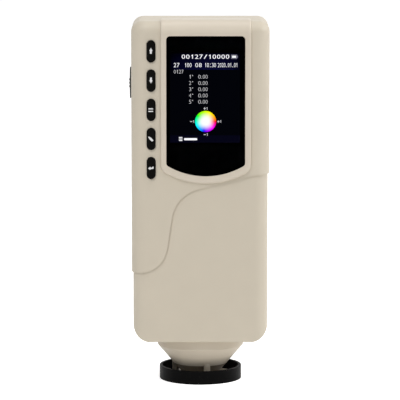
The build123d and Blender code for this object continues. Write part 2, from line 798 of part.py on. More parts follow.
def display_ribbon():
    """The flat cable from the foot of the display back to the main board."""
    top_y = backlight_front_y + backlight_thickness / 2
    middle_z = display_bottom_z - ribbon_drop
    centre = Polyline((top_y, display_bottom_z), (top_y, middle_z), (main_board_front_y, middle_z))
    return strip(centre, bezel_centre_x)


def strip(centre_line, centre_x):
    """A thin flat cable of the usual width along a line drawn in Y and Z."""
    sheet = extrude(Plane.YZ * trace(centre_line, ribbon_thickness), ribbon_width / 2, both=True)
    return Pos(centre_x, 0, 0) * sheet


# ---- Keys ----
def key_cap(z):
    """One key: a crowned stadium with a flange behind the cover."""
    front = front_skin_y - key_proud
    back = cover_inner_y + fit_gap
    face = stadium((key_centre_x, z), key_width, key_height)
    cap = through_y(face, (front, back + key_flange_thickness))
    cap = fillet(cap.faces().sort_by(Axis.Y)[0].edges(), key_crown_radius)
    flange = stadium((key_centre_x, z), key_width, key_height, key_flange_lip)
    return cap + through_y(flange, (back, back + key_flange_thickness))


def key_panel(y_span, margin):
    """A flat piece that lies behind all five keys."""
    half = key_board_width / 2 - margin
    low = key_heights[-1] - key_height / 2 - key_board_margin + margin
    high = key_heights[0] + key_height / 2 + key_board_margin - margin
    left = -side_inner_x + key_board_side_gap
    return block((left + margin, left + 2 * half + margin), y_span, (low, high))


def key_switches():
    """Five metal domes on the key board, one behind each key."""
    ball_radius = (key_dome_radius**2 + key_dome_height**2) / (2 * key_dome_height)
    ball_y = key_board_front_y - key_dome_height + ball_radius
    in_front = block((-far, far), (-far, key_board_front_y), (-far, far))
    return group([Pos(key_centre_x, ball_y, z) * Sphere(ball_radius) & in_front for z in key_heights])


# ---- Power slider ----
def power_slider():
    """The thumb slider in its slot, with a flange and a pin inside."""
    y, z = slider_centre
    out_x = -half_width - slider_proud
    y_span = (y - slider_width / 2, y + slider_width / 2)
    crown_radius = (slider_length / 2) ** 2 / (2 * slider_crown)
    body = block((out_x, -side_inner_x + fit_gap), y_span, (z - slider_length / 2, z + slider_length / 2))
    crown = Cylinder(crown_radius, slider_width * 2)
    body &= Pos(out_x + crown_radius, y, z) * Rot(90, 0, 0) * crown
    for rise in slider_ridge_offsets:
        ridge_x = out_x - slider_ridge_height + slider_ridge_radius
        body += rod_along_y((ridge_x, z + rise), slider_ridge_radius, y_span)
    lip = slider_flange_lip
    flange_x = (-side_inner_x + fit_gap, -side_inner_x + fit_gap + slider_flange_thickness)
    flange_z = (z - slider_length / 2 - lip, z + slider_length / 2 + lip)
    body += block(flange_x, (y_span[0] - lip, y_span[1] + lip), flange_z)
    pin_half = slider_pin_width / 2
    pin_x = (flange_x[1], flange_x[1] + slider_pin_length)
    return body + block(pin_x, (y - pin_half, y + pin_half), (z - pin_half, z + pin_half))


def rod_along_y(centre, radius, y_span):
    """A ridge along Y that ends a little inside the piece's sides."""
    return rod_y(centre, radius, (y_span[0] + slot_gap, y_span[1] - slot_gap))


def switch_body_left_x():
    """The power switch's outer face, clear of the slider's flange."""
    return -side_inner_x + 2 * fit_gap + slider_flange_thickness + slot_gap


def power_switch():
    """The slide switch that the slider's pin moves."""
    y, z = slider_centre
    left = switch_body_left_x()
    half = slider_width / 2
    centre_z = z - slider_travel / 2
    body = block(
        (left, left + switch_body_depth),
        (y - half, y + half),
        (centre_z - switch_body_length / 2, centre_z + switch_body_length / 2),
    )
    pin = slider_pin_width / 2 + slot_gap
    groove_z = (z - slider_travel - pin, z + pin)
    groove = block((left - overshoot, left + slider_pin_length), (y - pin, y + pin), groove_z)
    return body - groove


def switch_board_right_x():
    """The inner face of the power switch's board."""
    return switch_body_left_x() + switch_body_depth + board_thickness


def switch_board():
    """The small board that carries the power switch."""
    y, z = slider_centre
    centre_z = z - slider_travel / 2
    right = switch_board_right_x()
    board = block(
        (right - board_thickness, right),
        (y - switch_board_width / 2, y + switch_board_width / 2),
        (centre_z - switch_board_length / 2, centre_z + switch_board_length / 2),
    )
    hole_x = (right - board_thickness - overshoot, right + overshoot)
    for side in (-1, 1):
        board -= rod_x(switch_screw_place(side), screw_radius + screw_gap, hole_x)
    return board


def switch_screw_place(side):
    """Y and Z of one screw of the power switch's board."""
    y, z = slider_centre
    centre_z = z - slider_travel / 2
    return (y, centre_z + side * (switch_board_length / 2 - screw_head_room))


def switch_fin():
    """The wall inside the rear cover that carries the power switch's board."""
    y, z = slider_centre
    right = switch_board_right_x() + fit_gap
    centre_z = z - slider_travel / 2
    z_span = (centre_z - switch_board_length / 2, centre_z + switch_board_length / 2)
    return block((right, right + board_screw_length), (y - switch_board_width / 2, far), z_span)


# ---- Measuring button ----
def measure_button():
    """The button on the back, with a flange and a stub inside."""
    face = stadium((0, trigger_centre_z), trigger_width, trigger_height)
    inner = cover_back_inner_y - fit_gap
    button = through_y(face, (inner - trigger_flange_thickness, back_skin_y + trigger_proud))
    button = fillet(button.faces().sort_by(Axis.Y)[-1].edges(), trigger_crown_radius)
    flange = stadium((0, trigger_centre_z), trigger_width, trigger_height, trigger_flange_lip)
    button += through_y(flange, (inner - trigger_flange_thickness, inner))
    stub_end = inner - trigger_flange_thickness - trigger_stub_length
    return button + rod_y((0, trigger_centre_z), trigger_stub_radius, (stub_end, inner))


def trigger_plunger_tip_y():
    """The end of the measuring switch's plunger, just short of the pressed button."""
    stub_end = cover_back_inner_y - fit_gap - trigger_flange_thickness - trigger_stub_length
    return stub_end - trigger_travel - slot_gap


def trigger_board_back_y():
    """The face of the trigger board that its switch stands on."""
    return trigger_plunger_tip_y() - trigger_plunger_length - trigger_switch_depth


def measure_switch():
    """The push switch behind the measuring button."""
    back = trigger_board_back_y()
    half = trigger_switch_side / 2
    z = trigger_centre_z
    body = block((-half, half), (back, back + trigger_switch_depth), (z - half, z + half))
    return body + rod_y((0, z), trigger_plunger_radius, (back, trigger_plunger_tip_y()))


def trigger_board():
    """The small board behind the measuring button."""
    back = trigger_board_back_y()
    z = trigger_centre_z
    half = trigger_board_width / 2
    z_span = (z - trigger_board_length / 2, z + trigger_board_length / 2)
    board = block((-half, half), (back - board_thickness, back), z_span)
    hole_y = (back - board_thickness - overshoot, back + overshoot)
    for side in (-1, 1):
        board -= rod_y((0, z + side * trigger_screw_offset), screw_radius + screw_gap, hole_y)
    return board


# ---- Main board and its components ----
def main_board():
    """The board behind the display, with a tab that carries the sockets."""
    span = (main_board_front_y, main_board_back_y)
    board = block((main_board_left_x, main_board_right_x), span, (main_board_bottom_z, main_board_top_z))
    board += block((main_board_right_x - overshoot, socket_tab_right_x), span, socket_tab_z)
    for place in main_board_screws:
        board -= rod_y(place, screw_radius + screw_gap, (span[0] - overshoot, span[1] + overshoot))
    return board


def board_chips():
    """Square chips on the back of the main board."""
    bodies = []
    for inward, down, side, height in chips:
        x = main_board_left_x + inward
        z = main_board_top_z - down
        half = side / 2
        y_span = (main_board_back_y, main_board_back_y + height)
        bodies.append(block((x - half, x + half), y_span, (z - half, z + half)))
    return group(bodies)


def shield_can():
    """A pressed cover over the radio section of the main board."""
    x, z = shield_centre
    width, height, length = shield_size

    def shell(inset):
        half_x = width / 2 - inset
        half_z = length / 2 - inset
        top = main_board_back_y + height - inset
        return block((x - half_x, x + half_x), (main_board_back_y, top), (z - half_z, z + half_z))

    return shell(0) - shell(shield_sheet)


def clock_cell():
    """The coin cell that keeps the clock going, on the main board."""
    y_span = (main_board_back_y, main_board_back_y + clock_cell_height)
    return rod_y(clock_cell_centre, clock_cell_radius, y_span)


def buzzer():
    """The round sounder on the main board."""
    back = main_board_back_y + buzzer_height
    body = rod_y(buzzer_centre, buzzer_radius, (main_board_back_y, back))
    return body - rod_y(buzzer_centre, buzzer_hole_radius, (back - buzzer_hole_depth, back + overshoot))


def usb_socket():
    """The USB socket: a flattened tube with a contact tongue."""
    mouth = half_width - socket_recess - fit_gap
    start = mouth - usb_length
    base = Plane(origin=(start, usb_centre_y(), usb_centre_z), x_dir=(0, 0, 1), z_dir=(1, 0, 0))
    tube = extrude(base * SlotOverall(usb_width, usb_height), usb_length)
    hollow = SlotOverall(usb_width - 2 * usb_shell, usb_height - 2 * usb_shell)
    tube -= extrude(base.offset(usb_back_wall) * hollow, usb_length)
    half = usb_tongue_thickness / 2
    side = usb_tongue_width / 2
    tongue_y = (usb_centre_y() - half, usb_centre_y() + half)
    tongue_z = (usb_centre_z - side, usb_centre_z + side)
    return tube + block((start, mouth - usb_tongue_recess), tongue_y, tongue_z)


def dc_socket():
    """The DC socket: a block with a round nose and a centre pin."""
    mouth = half_width - socket_recess
    nose_start = side_inner_x - slot_gap
    centre = (dc_centre_y(), dc_centre_z)
    half = dc_body_width / 2
    y_span = (main_board_back_y, main_board_back_y + dc_body_depth)
    z_span = (dc_centre_z - half, dc_centre_z + half)
    body = block((nose_start - dc_body_length, nose_start), y_span, z_span)
    body += rod_x(centre, dc_nose_radius, (nose_start, mouth))
    body -= rod_x(centre, dc_bore_radius, (mouth - dc_bore_depth, mouth + overshoot))
    return body + rod_x(centre, dc_pin_radius, (mouth - dc_bore_depth, mouth - dc_pin_recess))


# ---- Inner frame and battery ----
def inner_frame():
    """The plate that joins the covers to the lower housing and carries the battery tray."""
    y_span = (frame_front_y, tray_front_y - fit_gap)
    frame = block(frame_side_x, y_span, (frame_bottom_z, frame_top_z))
    for x, z in frame_cover_places + frame_housing_places:
        side_x = frame_side_x[0] if x < 0 else frame_side_x[1]
        frame += block((side_x, x), y_span, (z - frame_ear_half, z + frame_ear_half))
        frame += rod_y((x, z), frame_ear_half, y_span)
    for place in frame_cover_places + frame_housing_places:
        frame -= rod_y(place, screw_radius + screw_gap, (y_span[0] - overshoot, y_span[1] + overshoot))
    return frame


def battery_tray():
    """The open box that the battery drops into from behind."""
    back = housing_back_y - housing_wall - fit_gap
    return bay_opening(tray_wall, (tray_front_y, back)) - bay_opening(0, (tray_front_y + tray_wall, far))


def battery_pack():
    """The rechargeable battery, a block with rounded long edges."""
    front = tray_front_y + tray_wall + contact_thickness + battery_play
    back = housing_back_y - door_thickness - battery_play
    pack = bay_opening(-battery_play, (front, back))
    return fillet(pack.edges().filter_by(Axis.Z), battery_corner_radius)


def battery_contacts():
    """Flat spring contacts on the floor of the tray."""
    front = tray_front_y + tray_wall
    centre_x = bay_left_x + bay_width / 2
    low = bay_bottom_z + tray_wall
    leaves = []
    for step in range(contact_count):
        x = centre_x + (step - (contact_count - 1) / 2) * contact_pitch
        x_span = (x - contact_width / 2, x + contact_width / 2)
        leaves.append(block(x_span, (front, front + contact_thickness), (low, low + contact_length)))
    return group(leaves)


# ---- Measuring head ----
def head_screw_spots():
    """X and Y of the four screws that hold the head to the housing's floor."""
    x = head_flange_half_x - head_screw_margins[0]
    y = head_flange_half_y - head_screw_margins[1]
    return [(side * x, end * y) for side in (-1, 1) for end in (-1, 1)]


def ring_spots(radius, count, first_angle):
    """X and Y of points spaced evenly on a circle, from an angle off the front."""
    spots = []
    for step in range(count):
        angle = radians(first_angle + step * 360 / count)
        spots.append((radius * sin(angle), -radius * cos(angle)))
    return spots


def post_spots():
    """X and Y of the posts that carry the locating ring."""
    return ring_spots(post_circle_radius, post_count, post_angle)


def sphere_screw_spots():
    """X and Y of the screws that close the integrating sphere."""
    return ring_spots(sphere_screw_circle, sphere_screw_count, sphere_screw_angle)


def cone_slope():
    """Growth of the cone's radius for each millimetre of height."""
    return (collar_radius - cone_bottom_radius) / (cone_top_z - cone_bottom_z)


def measuring_head():
    """The collar and cone under the housing, with its flange and the ring's posts."""
    shift = head_wall * sqrt(1 + cone_slope() ** 2)
    bore = tip_spigot_radius + fit_gap
    step_z = cone_bottom_z + tip_spigot_height + fit_gap
    inner_at_step = cone_bottom_radius + cone_slope() * (step_z - cone_bottom_z) - shift
    inner_collar = collar_radius - head_wall
    inner_top_z = cone_bottom_z + (inner_collar - cone_bottom_radius + shift) / cone_slope()
    head = turned(
        [
            (bore, cone_bottom_z),
            (cone_bottom_radius, cone_bottom_z),
            (collar_radius, cone_top_z),
            (collar_radius, head_flange_top_z),
            (inner_collar, head_flange_top_z),
            (inner_collar, inner_top_z),
            (inner_at_step, step_z),
            (bore, step_z),
        ]
    )
    sheet = RectangleRounded(2 * head_flange_half_x, 2 * head_flange_half_y, head_flange_corner_radius)
    flange = Pos(0, 0, housing_floor_z) * extrude(sheet, head_flange_thickness)
    head += (flange & housing_form(housing_inset)) - rod_z((0, 0), inner_collar, (0, far))
    hollow = turned(
        [(0, step_z), (inner_at_step, step_z), (inner_collar, inner_top_z), (inner_collar, far), (0, far)]
    )
    for x, y in post_spots():
        post = rod_z((x, y), post_radius, (plate_top_z, step_z + head_wall))
        head += post - rod_z((0, 0), bore, (0, step_z)) - hollow
        head -= rod_z((x, y), plate_screw_radius + screw_gap, (0, plate_top_z + plate_screw_length))
    for x, y in head_screw_spots():
        head -= rod_z((x, y), screw_radius + screw_gap, (0, far))
    for x, y in sphere_screw_spots():
        depth = sphere_centre_z + sphere_flange_thickness - sphere_screw_length - screw_gap
        head -= rod_z((x, y), sphere_screw_radius + screw_gap, (depth, far))
    return head


def aperture_tip():
    """The dark cup that touches the sample, with the round aperture in its face."""
    inner = tip_radius - tip_wall
    top = cone_bottom_z + tip_spigot_height
    shoulder = cone_bottom_z - fit_gap
    tip = turned(
        [
            (aperture_radius, 0),
            (tip_radius, 0),
            (tip_radius, tip_shoulder_z),
            (cone_bottom_radius, shoulder),
            (tip_spigot_radius, shoulder),
            (tip_spigot_radius, top),
            (inner, top),
            (inner, shoulder),
            (sphere_port_radius, shoulder),
            (aperture_radius, tip_face_thickness),
        ]
    )
    for x, y in post_spots():
        tip -= rod_z((x, y), post_radius + slot_gap, (0, shoulder))
    return tip - seal_ring(seal_radius + fit_gap)


def seal_ring(radius):
    """A ring of round section in the middle of the tip's spigot."""
    middle = cone_bottom_z + tip_spigot_height / 2
    return Pos(0, 0, middle) * Torus(tip_spigot_radius - seal_radius + fit_gap / 2, radius)


def locating_plate():
    """The pale plate in the ring, with windows that show the sample round the tip."""
    plate = turned(
        [
            (tip_radius + slot_gap, plate_bottom_z + fit_gap),
            (ring_inner_radius - plate_gap, plate_bottom_z + fit_gap),
            (ring_inner_radius - plate_gap, plate_top_z - fit_gap),
            (tip_radius + slot_gap, plate_top_z - fit_gap),
        ]
    )
    for step in range(post_count):
        plate -= plate_window(post_angle + (step + 0.5) * 360 / post_count)
    for x, y in post_spots():
        plate -= rod_z((x, y), plate_screw_radius + screw_gap, (0, far))
    return plate


def plate_window(angle):
    """A curved window, centred on an angle off the front."""
    inner, outer = plate_window_radii
    sweep = turned([(inner, 0), (outer, 0), (outer, cone_bottom_z), (inner, cone_bottom_z)])
    reach = far * tan(radians(plate_window_angle / 2))
    wedge = make_face(Polyline((0, 0), (-reach, -far), (reach, -far), close=True))
    return sweep & (Rot(0, 0, angle) * extrude(wedge, cone_bottom_z))


def locating_ring():
    """The black ring that the instrument stands on, with a spoke to each post."""
    outline = [
        (ring_inner_radius - ring_lip, 0),
        (ring_outer_radius, 0),
        (ring_outer_radius, ring_height),
        (ring_inner_radius, ring_height),
        (ring_inner_radius, ring_lip_height),
        (ring_inner_radius - ring_lip, ring_lip_height),
    ]
    ring = turned(outline)
    rims = ring.edges().filter_by(GeomType.CIRCLE).group_by(lambda edge: edge.radius)[-1]
    ring = fillet(rims, ring_rim_radius)
    inside = rod_z((0, 0), ring_inner_radius + ring_wall / 2, (spoke_clear, ring_lip_height))
    inside -= rod_z((0, 0), tip_radius + slot_gap, (0, far))
    spoke_x = (-spoke_width / 2, spoke_width / 2)
    spoke = block(spoke_x, (-ring_outer_radius, 0), (spoke_clear, ring_lip_height))
    for step in range(post_count):
        ring += Rot(0, 0, post_angle + step * 360 / post_count) * spoke & inside
    for x, y in post_spots():
        ring -= rod_z((x, y), plate_screw_radius + screw_gap, (0, far))
    return ring


def half_sphere(side):
    """One half of the integrating sphere: side is -1 for the lower half and 1 for the upper."""
    shell = Sphere(sphere_outer_radius) - Sphere(sphere_outer_radius - sphere_wall)
    keep = block((-far, far), (-far, far), (0, side * far))
    lip_z = (side * fit_gap / 2, side * sphere_flange_thickness)
    lip = rod_z((0, 0), sphere_flange_radius, lip_z)
    lip &= block((-far, far), (-lip_half_y(), lip_half_y()), (-far, far))
    lip -= Sphere(sphere_outer_radius - sphere_wall / 2)
    half = Pos(0, 0, sphere_centre_z) * ((shell & keep) + lip)
    if side > 0:
        half -= block((-far, far), (-far, far), (0, sphere_centre_z + fit_gap / 2))
    for x, y in sphere_screw_spots():
        half -= rod_z((x, y), sphere_screw_radius + screw_gap, (0, far))
    return half


def lip_half_y():
    """Half the depth that the sphere's flange has inside the housing."""
    return -housing_front_inner_y - sphere_flange_clear


def sphere_lower():
    """The lower half of the sphere, open to the aperture."""
    lower = half_sphere(-1) - rod_z((0, 0), sphere_port_radius, (0, sphere_centre_z))
    return lower & block((-far, far), (-far, far), (0, sphere_centre_z - fit_gap / 2))


def sphere_upper():
    """The upper half of the sphere, with ports for the lamps, the lens and the reference sensor."""
    upper = half_sphere(1)
    hollow = Pos(0, 0, sphere_centre_z) * Sphere(sphere_outer_radius - sphere_wall)
    upper += lens_rod(barrel_collar_radius, (sphere_centre_z, barrel_seat)) - hollow_above() - hollow
    port_z = sphere_centre_z + led_port_height
    for turn in led_turns:
        boss = rod_x((0, port_z), led_boss_radius, (0, led_boss_reach)) - hollow
        upper += Rot(0, 0, turn) * boss
        upper -= Rot(0, 0, turn) * rod_x((0, port_z), led_port_radius + fit_gap, (0, far))
    boss = rod_y((0, port_z), led_boss_radius, (0, reference_seat_y)) - hollow
    upper += boss
    upper -= rod_y((0, port_z), led_port_radius + fit_gap, (0, far))
    return upper - lens_rod(barrel_radius + fit_gap, (sphere_centre_z, far))


def hollow_above():
    """Everything under the sphere's flange, which the upper half stays out of."""
    return block((-far, far), (-far, far), (0, sphere_centre_z + fit_gap))


def led_boards():
    """The two small boards that carry the lamps."""
    thickness, width, height = led_board_size
    port_z = sphere_centre_z + led_port_height
    x_span = (led_boss_reach + fit_gap, led_boss_reach + thickness)
    board = block(x_span, (-width / 2, width / 2), (port_z - height / 2, port_z + height / 2))
    return group([Rot(0, 0, turn) * board for turn in led_turns])


def lamps():
    """The two lamps, each a short round LED in its port."""
    port_z = sphere_centre_z + led_port_height
    lamp = rod_x((0, port_z), led_port_radius, (led_boss_reach - led_length, led_boss_reach))
    lamp = fillet(lamp.edges().group_by(Axis.X)[0], led_tip_radius)
    return group([Rot(0, 0, turn) * lamp for turn in led_turns])


def reference_sensor():
    """The sensor at the back of the sphere that watches the lamps."""
    port_z = sphere_centre_z + led_port_height
    can = rod_y((0, port_z), led_port_radius, (reference_seat_y - led_length, reference_seat_y + fit_gap))
    half = reference_board_side / 2
    y_span = (reference_seat_y + fit_gap, reference_seat_y + fit_gap + reference_board_thickness)
    return can + block((-half, half), y_span, (port_z - half, port_z + half))


def lens_barrel():
    """The tube that holds the lens, widening into the sensor's chamber."""
    barrel = lens_rod(barrel_radius, (barrel_start, chamber_start + fit_gap))
    barrel += lens_rod(barrel_flange_radius, (barrel_seat + fit_gap, barrel_seat + barrel_flange_thickness))
    barrel += lens_rod(chamber_radius, (chamber_start, chamber_end))
    barrel -= lens_rod(barrel_bore_radius, (barrel_start - overshoot, far))
    barrel -= lens_rod(chamber_bore_radius, (chamber_start + chamber_floor, far))
    lens_seat = lens_place - lens_thickness / 2 - fit_gap
    return barrel - lens_rod(lens_radius + fit_gap, (lens_seat, chamber_start + chamber_floor + overshoot))


def lens():
    """A lens with two bulging faces."""
    ball = Sphere(lens_curve_radius)
    offset_to_face = lens_curve_radius - lens_thickness / 2
    blank = Pos(0, 0, offset_to_face) * ball & Pos(0, 0, -offset_to_face) * ball
    return lens_axis * (Pos(0, 0, lens_place) * (blank & Cylinder(lens_radius, lens_thickness)))


def square_on_lens_axis(side, span):
    """A square plate across the lens axis, between two distances from the sample."""
    sheet = Box(side, side, span[1] - span[0], align=(Align.CENTER, Align.CENTER, Align.MIN))
    return lens_axis * (Pos(0, 0, span[0]) * sheet)


def sensor_board():
    """The board that closes the sensor's chamber."""
    span = (chamber_end + fit_gap, chamber_end + board_thickness)
    return square_on_lens_axis(sensor_board_side, span)


def spectral_sensor():
    """The sensor chip, under its board and inside the chamber."""
    return square_on_lens_axis(sensor_side, (chamber_end - sensor_height, chamber_end + fit_gap))


def sensor_ribbon():
    """The flat cable from the sensor board up to the main board."""
    start = lens_axis.from_local_coords((0, 0, chamber_end + board_thickness + ribbon_thickness / 2))
    end_y = main_board_back_y + ribbon_thickness / 2
    end_z = main_board_bottom_z + ribbon_width
    centre = Polyline((start.Y, start.Z), (end_y, start.Z + ribbon_width / 2), (end_y, end_z))
    return strip(centre, 0)


# ---- Groups of screws ----
def cover_screws():
    """The four long screws that close the covers."""
    seats = [(x, cover_screw_seat_y, z) for x, z in cover_screw_places]
    return group([screw(seat, (0, -1, 0), cover_screw_length) for seat in seats])


def frame_screws():
    """The screws that hold the inner frame."""
    seats = [(x, tray_front_y, z) for x, z in frame_cover_places + frame_housing_places]
    length = frame_screw_length + frame_thickness - fit_gap
    return group([screw(seat, (0, -1, 0), length) for seat in seats])


def board_screws():
    """The short screws of the main board, the trigger board and the power switch's board."""
    seats = [(x, main_board_back_y, z) for x, z in main_board_screws]
    screws = [screw(seat, (0, -1, 0), board_screw_length) for seat in seats]
    trigger_front = trigger_board_back_y() - board_thickness
    for side in (-1, 1):
        z = trigger_centre_z + side * trigger_screw_offset
        screws.append(screw((0, trigger_front, z), (0, 1, 0), board_screw_length))
        y, z = switch_screw_place(side)
        outer_x = switch_board_right_x() - board_thickness
        screws.append(screw((outer_x, y, z), (1, 0, 0), board_screw_length))
    return group(screws)


def head_screws():
    """The four screws that hold the measuring head to the housing's floor."""
    seats = [(x, y, head_flange_top_z) for x, y in head_screw_spots()]
    length = head_flange_thickness + head_screw_depth - fit_gap
    return group([screw(seat, (0, 0, -1), length) for seat in seats])


def sphere_screws():
    """The four screws that close the sphere on the head's flange."""
    top = sphere_centre_z + sphere_flange_thickness
    seats = [(x, y, top) for x, y in sphere_screw_spots()]
    sizes = (sphere_screw_length, sphere_screw_radius, sphere_screw_head_radius)
    return group([screw(seat, (0, 0, -1), *sizes) for seat in seats])


def plate_screws():
    """The three flat screws under the spokes, up into the posts."""
    screws = []
    for x, y in post_spots():
        shank = rod_z((x, y), plate_screw_radius, (spoke_clear, spoke_clear + plate_screw_length))
        head = rod_z((x, y), plate_screw_head_radius, (plate_screw_sunk, spoke_clear))
        screws.append(shank + head)
    return group(screws)


# ---- Every sub-part, by node name ----
def every_part():
    """All the nodes and their solids."""
    parts = {
        "lower_housing": lower_housing(),
        "battery_door": battery_door(),
        "front_cover": front_cover(),
        "rear_cover": rear_cover(),
        "rating_plate": rating_plate(),
        "display_bezel": display_bezel(),
        "display_window": display_window(),
        "display_gasket": display_gasket(),
        "display_panel": display_layer((display_front_y, backlight_front_y)),
        "display_backlight": display_layer((backlight_front_y, display_back_y)),
        "display_ribbon": display_ribbon(),
        "key_mat": key_panel((key_mat_front_y, key_mat_back_y), key_mat_margin),
        "key_switches": key_switches(),
        "key_board": key_panel((key_board_front_y, key_board_back_y), 0),
        "power_slider": power_slider(),
        "power_switch": power_switch(),
        "switch_board": switch_board(),
        "measure_button": measure_button(),
        "measure_switch": measure_switch(),
        "trigger_board": trigger_board(),
        "main_board": main_board(),
        "board_chips": board_chips(),
        "shield_can": shield_can(),
        "clock_cell": clock_cell(),
        "buzzer": buzzer(),
        "usb_socket": usb_socket(),
        "dc_socket": dc_socket(),
        "inner_frame": inner_frame(),
        "battery_tray": battery_tray(),
        "battery_pack": battery_pack(),
        "battery_contacts": battery_contacts(),
        "measuring_head": measuring_head(),
        "aperture_tip": aperture_tip(),
        "tip_seal": seal_ring(seal_radius),
        "locating_plate": locating_plate(),
        "locating_ring": locating_ring(),
        "sphere_lower": sphere_lower(),
        "sphere_upper": sphere_upper(),
        "led_boards": led_boards(),
        "lamps": lamps(),
        "reference_sensor": reference_sensor(),
        "lens_barrel": lens_barrel(),
        "lens": lens(),
        "spectral_sensor": spectral_sensor(),
        "sensor_board": sensor_board(),
        "sensor_ribbon": sensor_ribbon(),
        "cover_screws": cover_screws(),
        "frame_screws": frame_screws(),
        "board_screws": board_screws(),
        "head_screws": head_screws(),
        "sphere_screws": sphere_screws(),
        "plate_screws": plate_screws(),
    }
    for name, z in zip(key_names, key_heights):
        parts[name] = key_cap(z)
    return parts


os.makedirs("parts", exist_ok=True)
for node, solid in every_part().items():
    export_step(solid, f"parts/{node}.step")
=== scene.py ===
import json
import math

import bmesh
import bpy
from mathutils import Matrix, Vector


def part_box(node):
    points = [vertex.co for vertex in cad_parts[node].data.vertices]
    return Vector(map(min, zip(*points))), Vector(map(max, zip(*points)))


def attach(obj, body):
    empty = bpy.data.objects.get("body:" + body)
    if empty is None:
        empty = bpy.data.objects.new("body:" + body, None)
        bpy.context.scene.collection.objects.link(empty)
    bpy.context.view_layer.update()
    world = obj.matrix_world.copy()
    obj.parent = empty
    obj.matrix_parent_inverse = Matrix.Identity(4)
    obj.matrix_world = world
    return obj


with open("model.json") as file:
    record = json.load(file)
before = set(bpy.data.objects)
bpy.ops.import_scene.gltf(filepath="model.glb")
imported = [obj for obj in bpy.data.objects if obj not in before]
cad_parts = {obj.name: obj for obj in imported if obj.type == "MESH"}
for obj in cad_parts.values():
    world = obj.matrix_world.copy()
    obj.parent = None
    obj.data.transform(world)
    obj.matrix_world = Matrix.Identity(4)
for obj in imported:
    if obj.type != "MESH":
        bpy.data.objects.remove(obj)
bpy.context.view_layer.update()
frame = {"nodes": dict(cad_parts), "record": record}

# The looks of the hand-held colorimeter. Metres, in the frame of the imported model: the origin is the
# middle of the locating ring's underside, +Z is up and -Y is the way the display faces. What is printed
# or lit is laid out in mm, and scaled by MM where it is made.

MM = 0.001

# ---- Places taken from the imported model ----
window_low, window_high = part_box("display_window")
window_centre_x = (window_low.x + window_high.x) / 2
window_top_z = window_high.z
glass_back_y = window_high.y

# ---- Thin layers behind the glass and on the keys ----
PIXEL_GAP = 0.01 * MM  # from the glass to the signs that the display shows
BAND_GAP = 0.02 * MM  # and to the lit bands behind them
LIT_DEPTH = 0.004 * MM  # thickness of both
MASK_GAP = 0.028 * MM  # the black print lies this far behind the glass, in front of its ledge
MASK_THICKNESS = 0.012 * MM
ICON_PROUD = 0.02 * MM  # the white print on the keys
ICON_ROOT = 0.01 * MM  # the print reaches this far into the key
PIXEL_LAYER = (glass_back_y + PIXEL_GAP, glass_back_y + PIXEL_GAP + LIT_DEPTH)
BAND_LAYER = (glass_back_y + BAND_GAP, glass_back_y + BAND_GAP + LIT_DEPTH)

# ---- Drawing ----
ROUND_STEPS = 8  # straight pieces in a quarter of a circle
FONT_STEPS = 3  # straight pieces in a curve of a numeral
WELD = 0.0005 * MM  # points nearer than this are one point
FACES_BACK = 0.9  # the least +Y in the normal of a face that looks back
PIXEL_PITCH = 0.12 * MM
DIMMEST_DOT = 0.9  # of the strength of the brightest
SIGN_SHARE = 0.8  # of its cell's width that a sign fills
DOT_SHARE = 0.16  # of the line's height that a point fills
ONE_STROKE, ONE_FLAG = 0.17, 0.2  # of the cell, the stroke and the flag of a 1
FLAG_TOP, FLAG_FOOT = 0.25, 0.4  # of its height, how far below its top the flag's tip starts and ends
HEADLINE_WEIGHT, HEADER_WEIGHT, VALUE_WEIGHT = 0.0, -0.008, -0.014  # change of the font's stroke

# ---- The display's layout ----
# In mm, X from the window's middle line and Z from its top, so that down is negative. A box is
# (left, right, bottom, top), and a row's places are (left, right).
AREA_LEFT, AREA_RIGHT = -18.5, 17.7
HEADER_BOTTOM, HEADER_TOP = -17.3, -8.8
FOOTER_BOTTOM, FOOTER_TOP = -55.4, -51.6
FULL_LEFT, FULL_RIGHT = 0.0, 8.0  # the header is brightest between these
HEADLINE, HEADLINE_BOX = "00127/10000", (-12.7, 12.4, -11.75, -9.55)
ENTRY_BOTTOM, ENTRY_TOP = -16.1, -13.95
HEADER_ENTRIES = (
    ("27", -16.8, -13.4), ("100", -11.1, -7.2), ("08", -5.6, -1.9), ("10:30", -0.7, 5.4),
    ("2020.01.01", 6.1, 16.6),
)
RULE_BOX = (-15.8, 16.6, -17.25, -17.0)
COUNT, COUNT_BOX = "0127", (-16.7, -11.4, -19.4, -17.5)

BATTERY_LEFT, BATTERY_RIGHT, BATTERY_BOTTOM, BATTERY_TOP = 13.1, 16.2, -11.8, -9.6
BATTERY_STROKE = 0.3
BATTERY_NOSE_LENGTH, BATTERY_NOSE_HEIGHT = 0.4, 1.0
CHARGE_INSET = 0.5  # from the outside of the battery sign to its filled part

MENU_SPAN, MENU_BOTTOM = (-13.9, -12.1), -54.5
MENU_BARS, MENU_PITCH, MENU_STROKE = 3, 0.8, 0.4
LABEL_BOX, LABEL_RADIUS = (-11.3, -4.4, -54.15, -53.05), 0.5

ROWS, ROW_HEIGHT, ROW_PITCH, FIRST_ROW_TOP = 5, 1.95, 3.25, -20.1
ROW_NUMBER, ROW_UNITS, ROW_DECIMALS = (-8.8, -7.4), (-4.05, -2.35), (-1.7, 1.1)
ROW_POINT, POINT_HEIGHT = (-2.2, -1.9), 0.3
RING_X, RING_DROP, RING_RADIUS, RING_SIDES = -6.8, 0.3, 0.25, 8  # the small ring after a row's number

WHEEL_X, WHEEL_Z, WHEEL_RADIUS, WHEEL_SIDES = -0.07, -44.34, 5.5, 64
WHEEL_WHITE, WHEEL_PURE = 1.4, 5.1  # from its middle, where white ends and where the pure hues start
WHEEL_HUES = (
    (0.0, (255, 0, 0)), (0.18, (255, 255, 0)), (0.4, (0, 255, 0)), (0.56, (0, 255, 255)),
    (0.72, (0, 0, 255)), (0.88, (255, 0, 255)),
)
